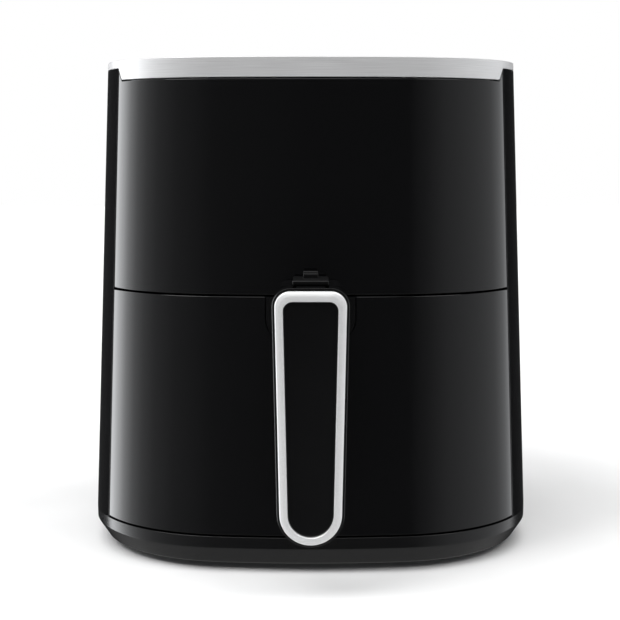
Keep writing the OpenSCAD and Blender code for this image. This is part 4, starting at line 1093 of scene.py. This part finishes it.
    def well(self, body, top):
        """Opening for the release button and slots for the guard's keels."""
        low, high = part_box("release_button")
        gap = 0.4 * MM
        flange = 2 * MM
        cut(body, block("opening", (low[0] + flange - gap, low[1] + flange - gap, top - 4 * MM),
                        (high[0] - flange + gap, high[1] - flange + gap, top + 2 * MM)))
        cut(body, block("room", (low[0] - gap, low[1] - gap, top - 13.8 * MM),
                        (high[0] + gap, high[1] + gap, top - 3 * MM)))
        guard_low, guard_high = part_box("button_guard")
        for s in (-1, 1):
            x0, x1 = sorted((s * (KEEL[0] - gap), s * (KEEL[1] + gap)))
            cut(body, block("slot", (x0, guard_low[1] - 10 * MM, top - 3.4 * MM),
                            (x1, guard_high[1] - 1.6 * MM, top + 2 * MM)))


class AF_OT_release(Piece, bpy.types.Operator):
    """Sliding guard with its thumb tab, and the release button"""
    bl_idname = "airfryer.release"
    bl_label = "Guard and button"

    def build(self):
        low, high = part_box("button_guard")
        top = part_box("handle_grip")[1][2]
        base, plate_top = top + 0.4 * MM, top + 3.0 * MM
        parts = [block("plate", (low[0], low[1], base), (high[0], high[1], plate_top), 0.7 * MM)]
        for s in (-1, 1):
            x0, x1 = sorted((s * KEEL[0], s * KEEL[1]))
            parts.append(block("keel", (x0, low[1] + 4 * MM, low[2]),
                               (x1, high[1] - 2 * MM, base + 0.6 * MM), 0.3 * MM))
        tab_back = high[1] - 3.2 * MM
        parts.append(block("tab", (-4.3 * MM, tab_back - 7.8 * MM, plate_top - 0.8 * MM),
                           (4.3 * MM, tab_back, high[2] - 0.8 * MM), 0.7 * MM))
        for k in range(3):
            y = tab_back - 0.5 * MM - k * 2.7 * MM
            parts.append(block("ridge", (-4.1 * MM, y - 1.2 * MM, high[2] - 2 * MM),
                               (4.1 * MM, y, high[2]), 0.35 * MM))
        guard = join("button_guard_slide", parts)
        finish_piece(guard, "guard", "black_satin", "button_guard", finish="guard_black")

        low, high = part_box("release_button")
        flange = 2 * MM
        cap = [(0, 0.0), (0.0, 5.4), (0.35, 5.85), (0.9, 6.0), (3.0, 5.75), (5.4, 5.65)]
        rings = []
        middle = (low[1] + high[1]) / 2
        half = high[0] - flange
        for inset, height in cap:
            reach = half - inset * MM
            rings.append([(x, middle + y, high[2] - 6 * MM + height * MM)
                          for x, y in round_rect(reach, reach, max(0.2, 2.0 - inset) * MM, 5)])
        key = rings_object("key", rings)
        base = block("flange", (low[0], low[1], high[2] - 8.4 * MM),
                     (high[0], high[1], high[2] - 5.6 * MM), 0.3 * MM)
        stem = lathe("stem", [(2 * MM, low[2]), (2 * MM, high[2] - 8 * MM)], (0, middle), 32)
        button = join("release_button_key", [key, base, stem])
        soften(button, 0.0, 1)
        finish_piece(button, "button", "dark_plastic", "release_button")


class AF_OT_pan(Piece, bpy.types.Operator):
    """Pan with a rolled rim and a rounded floor"""
    bl_idname = "airfryer.pan"
    bl_label = "Pan"

    def build(self):
        low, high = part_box("pan")
        sheet = self.basket.sheet
        flange, corner, least_corner = 5 * MM, 60 * MM, 2 * MM
        half_x, half_y = high[0] - flange, (high[1] - low[1]) / 2 - flange
        middle = (low[1] + high[1]) / 2
        r, first_step, second_step = 11 * MM, 20 * MM, 44 * MM
        outside = [(-flange + 0.5 * MM, high[2] - sheet), (-0.8 * MM, high[2] - sheet),
                   (0, high[2] - sheet - MM)]
        outside += [(r - r * math.cos(a), low[2] + r - r * math.sin(a))
                    for a in quarter(8)]
        outside += [(r + step, low[2]) for step in (first_step, second_step)]
        inside = [(r + step, low[2] + sheet) for step in (second_step, first_step)]
        inner = r - sheet
        inside += [(r - inner * math.cos(a), low[2] + r - inner * math.sin(a))
                   for a in reversed(quarter(8))]
        inside += [(sheet, high[2] - 1.5 * MM), (0.3 * MM, high[2] - 0.3 * MM), (-MM, high[2]),
                   (-flange + 0.5 * MM, high[2]), (-flange, high[2] - sheet / 2)]
        rings = []
        for inset, z in outside + inside:
            radius = max(least_corner, corner - inset)
            rings.append([(x, middle + y, z)
                          for x, y in round_rect(half_x - inset, half_y - inset, radius, 14)])
        count = len(rings[0])
        points = [p for ring in rings for p in ring]
        faces = []
        n_out = len(outside)
        for i in range(len(rings)):
            if i == n_out - 1:
                continue
            a, b = i * count, ((i + 1) % len(rings)) * count
            faces += [(a + k, b + k, b + (k + 1) % count, a + (k + 1) % count)
                      for k in range(count)]
        faces.append(tuple((n_out - 1) * count + k for k in range(count)))
        faces.append(tuple(n_out * count + k for k in range(count)))
        made = mesh_object("pan_body", points, faces)
        face_out(made)
        soften(made, 0, 1)
        finish_piece(made, "drawer", "nonstick_coating", "pan")


class AF_OT_basket(Piece, bpy.types.Operator):
    """Perforated basket"""
    bl_idname = "airfryer.basket"
    bl_label = "Basket"

    def build(self):
        low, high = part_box("basket")
        b = self.basket
        cell, sheet = b.cell, b.sheet
        half_x = high[0]
        half_y = (high[1] - low[1]) / 2
        middle = (low[1] + high[1]) / 2
        r = b.floor_round
        flat_cells = 10
        flat = flat_cells * cell / 2
        corner_x, corner_y = half_x - flat, half_y - flat
        wall_low = low[2] + r
        rows = b.wall_rows
        heights = [wall_low + 6 * MM + cell * k for k in range(rows + 1)]
        levels = [(0, high[2])] + [(0, z) for z in reversed(heights)]
        levels += [(r - r * math.cos(a), low[2] + r - r * math.sin(a))
                   for a in quarter(6)]

        def outline(inset):
            """Round corners as quarter ellipses, flats divided into cells."""
            points = []
            rx, ry = corner_x - inset, corner_y - inset
            for sx, sy, start in ((1, -1, -90), (1, 1, 0), (-1, 1, 90), (-1, -1, 180)):
                bend = [(sx * flat + rx * math.cos(math.radians(start + 90 * k / 14)),
                         sy * flat + ry * math.sin(math.radians(start + 90 * k / 14)))
                        for k in range(15)]
                points += bend
                end = bend[-1]
                along = {-90: (0, 1), 0: (-1, 0), 90: (0, -1), 180: (1, 0)}[start]
                points += [(end[0] + along[0] * cell * k, end[1] + along[1] * cell * k)
                           for k in range(1, flat_cells)]
            return points

        work = bmesh.new()
        mark = work.faces.layers.float.new("perforated")
        loops = [[work.verts.new((x, middle + y, z)) for x, y in outline(inset)]
                 for inset, z in levels]
        count = len(loops[0])
        per_side = 15 + flat_cells - 1
        for i in range(len(loops) - 1):
            for k in range(count):
                j = (k + 1) % count
                face = work.faces.new((loops[i][k], loops[i][j], loops[i + 1][j], loops[i + 1][k]))
                on_flat = k % per_side >= 14
                front_bracket = k // per_side == 3 and i < 6
                if on_flat and 1 <= i <= rows and not front_bracket:
                    face[mark] = 1.0
        across = b.holes_across
        start = -across * cell / 2
        grid = [[work.verts.new((start + cell * i, middle + start + cell * j, low[2]))
                 for i in range(across + 1)] for j in range(across + 1)]
        for j in range(across):
            for i in range(across):
                face = work.faces.new((grid[j][i], grid[j][i + 1], grid[j + 1][i + 1],
                                       grid[j + 1][i]))
                face[mark] = 1.0
        rim = [work.edges.get((loops[-1][k], loops[-1][(k + 1) % count])) for k in range(count)]
        border = [e for e in work.edges
                  if len(e.link_faces) == 1 and all(abs(v.co.z - low[2]) < 1e-7 for v in e.verts)
                  and e not in rim]
        bmesh.ops.triangle_fill(work, use_beauty=True, edges=rim + border)
        bmesh.ops.recalc_face_normals(work, faces=work.faces)
        mesh = bpy.data.meshes.new("basket_body")
        work.to_mesh(mesh)
        work.free()
        made = place(mesh)
        grow(made, perforation(), Cell=self.cell_piece(cell, b.hole / 2), Sheet=sheet,
             Material=finish_of("nonstick_coating"))
        face_out(made)
        wall = made.modifiers.new("wall", "SOLIDIFY")
        wall.thickness = sheet
        wall.offset = -1
        settle(made)
        point_out(made)
        soften(made, 0, 1)
        finish_piece(made, "drawer", "nonstick_coating", "basket")

    def cell_piece(self, side, hole):
        """Square sheet of one cell with a round hole, 16 sided."""
        steps = 16
        inner = [(hole * math.cos(2 * math.pi * (k + 0.5) / steps),
                  hole * math.sin(2 * math.pi * (k + 0.5) / steps), 0) for k in range(steps)]
        h = side / 2
        corners = [(h, h, 0), (-h, h, 0), (-h, -h, 0), (h, -h, 0)]
        faces = []
        per = steps // 4
        for c in range(4):
            first = 2 + per * c - per // 2
            ring = [(first + k) % steps for k in range(per)]
            for a, b in zip(ring, ring[1:]):
                faces.append((steps + c, b, a))
            faces.append((steps + c, steps + (c + 1) % 4, (ring[-1] + 1) % steps, ring[-1]))
        return mesh_object("cell", inner + corners, faces)


class AF_OT_fans(Piece, bpy.types.Operator):
    """Hot-air fan and cooling fan with curved blades"""
    bl_idname = "airfryer.fans"
    bl_label = "Fans"

    def build(self):
        self.fan("convection_fan", "hot_air_fan", 10, "aluminised_steel", True)
        self.fan("cooling_fan", "cooling_fan_wheel", 9, "dark_plastic", False)

    def fan(self, node, name, blades, finish, plate_on_top):
        low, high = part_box(node)
        y0 = (low[1] + high[1]) / 2
        radius = (high[1] - low[1]) / 2
        plate_z = high[2] - 4 * MM if plate_on_top else low[2]
        z0 = low[2] + 2 * MM if plate_on_top else low[2] + 0.6 * MM
        z1 = plate_z + 0.3 * MM if plate_on_top else high[2]
        inner = 0.2 * radius if plate_on_top else 0.14 * radius
        rings = []
        for k in range(9):
            f = k / 8
            r = inner + (radius * 0.97 - inner) * f
            bend = math.radians(38) * f * f
            x, y = r * math.cos(bend), r * math.sin(bend)
            nx, ny = -math.sin(bend * 1.8), math.cos(bend * 1.8)
            t = 0.55 * MM
            rings.append([(x + nx * t, y + ny * t, z0), (x + nx * t, y + ny * t, z1),
                          (x - nx * t, y - ny * t, z1), (x - nx * t, y - ny * t, z0)])
        blade = rings_object("blade", rings)
        wheel = grow(empty_carrier(name + "_blades"), round_array(), Piece=blade, Count=blades,
                     Radius=0.0, Material=finish_of(finish))
        thick = MM
        hub = 8 * MM
        bore = 3 * MM
        if plate_on_top:
            profile = [(bore, low[2]), (hub - 0.8 * MM, low[2]), (hub, low[2] + 0.8 * MM),
                       (hub, plate_z - 1.5 * MM), (hub + 1.5 * MM, plate_z), (radius, plate_z),
                       (radius, plate_z + thick), (hub + 0.5 * MM, plate_z + thick),
                       (hub, plate_z + 1.5 * MM), (hub, high[2] - 0.5 * MM),
                       (hub - 0.5 * MM, high[2]), (bore, high[2])]
        else:
            profile = [(bore, low[2]), (radius, low[2]), (radius, low[2] + thick),
                       (hub + 1.5 * MM, low[2] + thick), (hub, low[2] + 2.5 * MM),
                       (hub, high[2] - 0.8 * MM), (hub - 0.8 * MM, high[2]), (bore, high[2])]
        steps = 72
        rings = [[(r * math.cos(2 * math.pi * k / steps), r * math.sin(2 * math.pi * k / steps), z)
                  for k in range(steps)] for r, z in profile]
        disc = rings_object("disc", rings, True)
        whole = join(name, [wheel, disc])
        whole.data.transform(Matrix.Translation((0, y0, 0)))
        soften(whole, 0, 1)
        finish_piece(whole, "fan_rotor", finish, node)


class AF_OT_screws(Piece, bpy.types.Operator):
    """Cross-recessed screw heads for base, motor, pan and handle"""
    bl_idname = "airfryer.screws"
    bl_label = "Screws"

    def build(self):
        low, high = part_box("base_screws")
        r = 3.4 * MM
        spots = [(x, y, low[2]) for x in (low[0] + r, high[0] - r)
                 for y in (low[1] + r, high[1] - r)]
        self.group("base_screw_heads", spots, r, 1.8 * MM, high[2] - low[2], "down", "main_body",
                   "base_screws")
        low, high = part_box("motor_screws")
        spots = [(x, y, high[2]) for x in (low[0] + r, high[0] - r)
                 for y in (low[1] + r, high[1] - r)]
        self.group("motor_screw_heads", spots, r, 2.0 * MM, high[2] - low[2], "up", "main_body",
                   "motor_screws")
        r = 3.2 * MM
        low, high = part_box("handle_screws")
        spots = [(0, high[1], low[2] + r), (0, high[1], high[2] - r)]
        self.group("handle_screw_heads", spots, r, 2.2 * MM, high[1] - low[1] - 0.2 * MM, "back",
                   "drawer", "handle_screws")
        low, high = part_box("pan_screws")
        spots = [(x, low[1], z) for x in (low[0] + r, high[0] - r)
                 for z in (low[2] + r, high[2] - r)]
        self.group("pan_screw_heads", spots, r, 1.9 * MM, 1.95 * MM, "front", "drawer",
                   "pan_screws")

    def group(self, name, spots, radius, head, total, way, body, node):
        """Screws whose heads point a given way: up, down, to the front or to the back."""
        profile = [(radius * wide, -deep * head) for wide, deep in
                   ((0.55, 0.0), (0.72, 0.06), (0.9, 0.25), (1, 0.6), (1, 1), (0.44, 1))]
        if total > head * 1.2:
            profile += [(radius * 0.44, -total + 0.8 * MM), (radius * 0.2, -total)]
        shank = lathe("shank", profile, (0, 0), 28)
        depth = 0.7 * head
        slot = radius * 0.13
        for a in (0, 90):
            bar = block("bar", (-radius * 0.6, -slot, -depth), (radius * 0.6, slot, 0.5 * MM))
            bar.data.transform(Matrix.Rotation(math.radians(a), 4, "Z"))
            cut(shank, bar)
        soften(shank, 0, 1)
        turn = {"up": Matrix.Identity(4), "down": Matrix.Rotation(math.pi, 4, "X"),
                "back": Matrix.Rotation(-math.pi / 2, 4, "X"),
                "front": Matrix.Rotation(math.pi / 2, 4, "X")}[way]
        shank.data.transform(turn)
        turns = [0.4 * k if way in ("up", "down") else 0.0 for k in range(len(spots))]
        made = grow(empty_carrier(name, spots, turns), point_array(), Piece=shank,
                    Material=finish_of("screw_steel"))
        finish_piece(made, body, "screw_steel", node)


class AF_OT_inner_finish(Piece, bpy.types.Operator):
    """Finishes of the pieces that keep their own shape"""
    bl_idname = "airfryer.inner_finish"
    bl_label = "Inner finishes"

    def build(self):
        slots = {row["node"]: row["material_slot"] for row in frame["record"]["subparts"]}
        for name, node in NODES.items():
            material = finish_of(slots[name])
            node.data.materials.clear()
            node.data.materials.append(material)
            for face in node.data.polygons:
                face.material_index = 0


class AF_OT_stage(bpy.types.Operator):
    """Pale floor, soft studio light and the camera"""
    bl_idname = "airfryer.stage"
    bl_label = "Stage"
    bl_options = {"REGISTER", "UNDO"}

    # brightness of the studio round the object: angle from the front in degrees, left positive
    STUDIO = ((-180, 0.03), (-128, 0.03), (-125.5, 1.5), (-122, 1.35), (-116, 1.0),
              (-102, 0.68), (-70, 0.50), (-51, 0.36), (-34, 0.17), (-18, 0.045), (0, 0.045),
              (14, 0.07), (32, 0.14), (50, 0.21), (69, 0.40), (81, 0.68), (92, 1.18),
              (103, 2.3), (110, 3.5), (118, 4.4), (124.5, 4.7), (127, 0.05), (180, 0.03))
    # each lamp's name, strength, spread in degrees and direction
    LAMPS = (("overhead", 1.15, 50, (0.0, -0.04, -1)), ("front_fill", 0.75, 35, (0.1, 1, -1.6)),
             ("left_fill", 1.55, 32, (1, 0.5, -1.6)), ("right_fill", 0.8, 32, (-1, 0.45, -1.6)))
    # where the studio turns to an even grey overhead and below, and how light the grey is
    ABOVE = (0.35, 0.75, 0.42)
    BELOW = (-0.36, -0.75, 0.35)
    # lens in mm, distance and height in metres, tilt and twist in degrees
    LENS, SENSOR, DISTANCE, EYE_HEIGHT, TILT, TWIST = 81.33, 36, 0.950, 0.2502, 6.653, 0.029
    FLOOR_FRONT, FLOOR_SIDE, FLOOR_BACK = 0.42, 3, 5

    def execute(self, context):
        scene = context.scene
        scene.view_settings.view_transform = "Standard"
        scene.view_settings.look = "None"
        self.world(scene)
        self.floor(scene)
        self.lamps(scene)
        self.camera(scene)
        return {"FINISHED"}

    def world(self, scene):
        world = bpy.data.worlds.new("studio")
        scene.world = world
        world.use_nodes = True
        tree = world.node_tree
        tree.nodes.clear()
        nodes = Nodes(tree)
        way = nodes.add("ShaderNodeTexCoord").outputs["Generated"]
        part = nodes.add("ShaderNodeSeparateXYZ", {0: way})
        left = nodes.math("MULTIPLY", part.outputs[0], -1.0)
        front = nodes.math("MULTIPLY", part.outputs[1], -1.0)
        angle_at = nodes.math("ARCTAN2", left, front)
        place = nodes.math("MULTIPLY_ADD", angle_at, 0.5 / math.pi, 0.5)
        ramp = nodes.add("ShaderNodeValToRGB", {0: place})
        top = max(v for a, v in self.STUDIO)
        elements = ramp.color_ramp.elements
        elements[0].position, elements[1].position = 0.0, 1.0
        for k, (a, v) in enumerate(self.STUDIO):
            position = (a + 180) / 360
            if k == 0:
                element = elements[0]
            elif k == len(self.STUDIO) - 1:
                element = elements[len(elements) - 1]
            else:
                element = elements.new(position)
            level = v / top
            element.color = (level * 0.985, level, level * 1.02, 1)
        side = nodes.add("ShaderNodeVectorMath", {0: ramp.outputs[0], "Scale": top},
                         operation="SCALE").outputs[0]
        shade = side
        for start, end, grey in (self.ABOVE, self.BELOW):
            blend = nodes.add("ShaderNodeMapRange", {0: part.outputs[2], 1: start, 2: end, 3: 0.0,
                                                     4: 1.0}, interpolation_type="SMOOTHSTEP")
            shade = nodes.add("ShaderNodeMix", {0: blend.outputs[0], 6: shade,
                                                7: (grey, grey, grey, 1)},
                              data_type="RGBA").outputs[2]
        glow = nodes.add("ShaderNodeBackground", {0: shade, 1: 1.0})
        white = nodes.add("ShaderNodeBackground", {0: (1, 1, 1, 1), 1: 1.0})
        seen = nodes.add("ShaderNodeLightPath").outputs["Is Camera Ray"]
        both = nodes.add("ShaderNodeMixShader", {0: seen, 1: glow.outputs[0], 2: white.outputs[0]})
        nodes.add("ShaderNodeOutputWorld", {"Surface": both.outputs[0]})

    def floor(self, scene):
        look = scene.air_fryer_finish
        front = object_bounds()[0][1] - self.FLOOR_FRONT
        side, back = self.FLOOR_SIDE, self.FLOOR_BACK
        points = [(-side, front, 0), (side, front, 0), (side, back, 0), (-side, back, 0)]
        floor = mesh_object("table_top", points, [(0, 1, 2, 3)])
        floor.data.materials.append(moulded("table_top", tuple(look.floor), 0.55, 0.05, 60.0,
                                            0.00002, 0.02))
        floor.visible_glossy = False
        floor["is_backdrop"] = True

    def lamps(self, scene):
        for name, energy, spread_angle, way in self.LAMPS:
            sun = bpy.data.lights.new(name, "SUN")
            sun.energy = energy
            sun.angle = math.radians(spread_angle)
            lamp = bpy.data.objects.new(name, sun)
            scene.collection.objects.link(lamp)
            lamp.visible_glossy = name != "overhead"
            lamp.rotation_euler = Vector(way).to_track_quat("-Z", "Y").to_euler()

    def camera(self, scene):
        """Camera at eye height just above the top of the drawer, looking slightly down."""
        data = bpy.data.cameras.new("camera")
        data.sensor_width = self.SENSOR
        data.lens = self.LENS
        data.clip_end = 50
        camera = bpy.data.objects.new("camera", data)
        scene.collection.objects.link(camera)
        camera.location = (0, centre_y() - self.DISTANCE, self.EYE_HEIGHT)
        camera.rotation_euler = (math.radians(90 - self.TILT), 0, math.radians(self.TWIST))
        scene.camera = camera


OPERATORS = (AF_OT_stage, AF_OT_inner_finish, AF_OT_body_shells, AF_OT_top, AF_OT_base,
             AF_OT_grille, AF_OT_drawer_front, AF_OT_handle, AF_OT_release, AF_OT_pan,
             AF_OT_basket, AF_OT_fans, AF_OT_screws)
GROUPS = (("air_fryer_body", AirFryerBody), ("air_fryer_handle", AirFryerHandle),
          ("air_fryer_basket", AirFryerBasket), ("air_fryer_finish", AirFryerFinish))


class AF_PT_panel(bpy.types.Panel):
    """Sizes, finishes and steps of the air fryer"""
    bl_label = "Air fryer"
    bl_idname = "AF_PT_panel"
    bl_space_type = "VIEW_3D"
    bl_region_type = "UI"
    bl_category = "Air Fryer"

    def draw(self, context):
        layout = self.layout
        for name, group in GROUPS:
            box = layout.box()
            settings = getattr(context.scene, name)
            for key in group.__annotations__:
                box.prop(settings, key)
        for operator in OPERATORS:
            layout.operator(operator.bl_idname)


def register():
    for name, group in GROUPS:
        bpy.utils.register_class(group)
        setattr(bpy.types.Scene, name, PointerProperty(type=group))
    for operator in OPERATORS:
        bpy.utils.register_class(operator)
    bpy.utils.register_class(AF_PT_panel)


def unregister():
    bpy.utils.unregister_class(AF_PT_panel)
    for operator in reversed(OPERATORS):
        bpy.utils.unregister_class(operator)
    for name, group in reversed(GROUPS):
        delattr(bpy.types.Scene, name)
        bpy.utils.unregister_class(group)


def main():
    register()
    for operator in OPERATORS:
        area, name = operator.bl_idname.split(".")
        getattr(getattr(bpy.ops, area), name)()


if __name__ == "__main__":
    main()
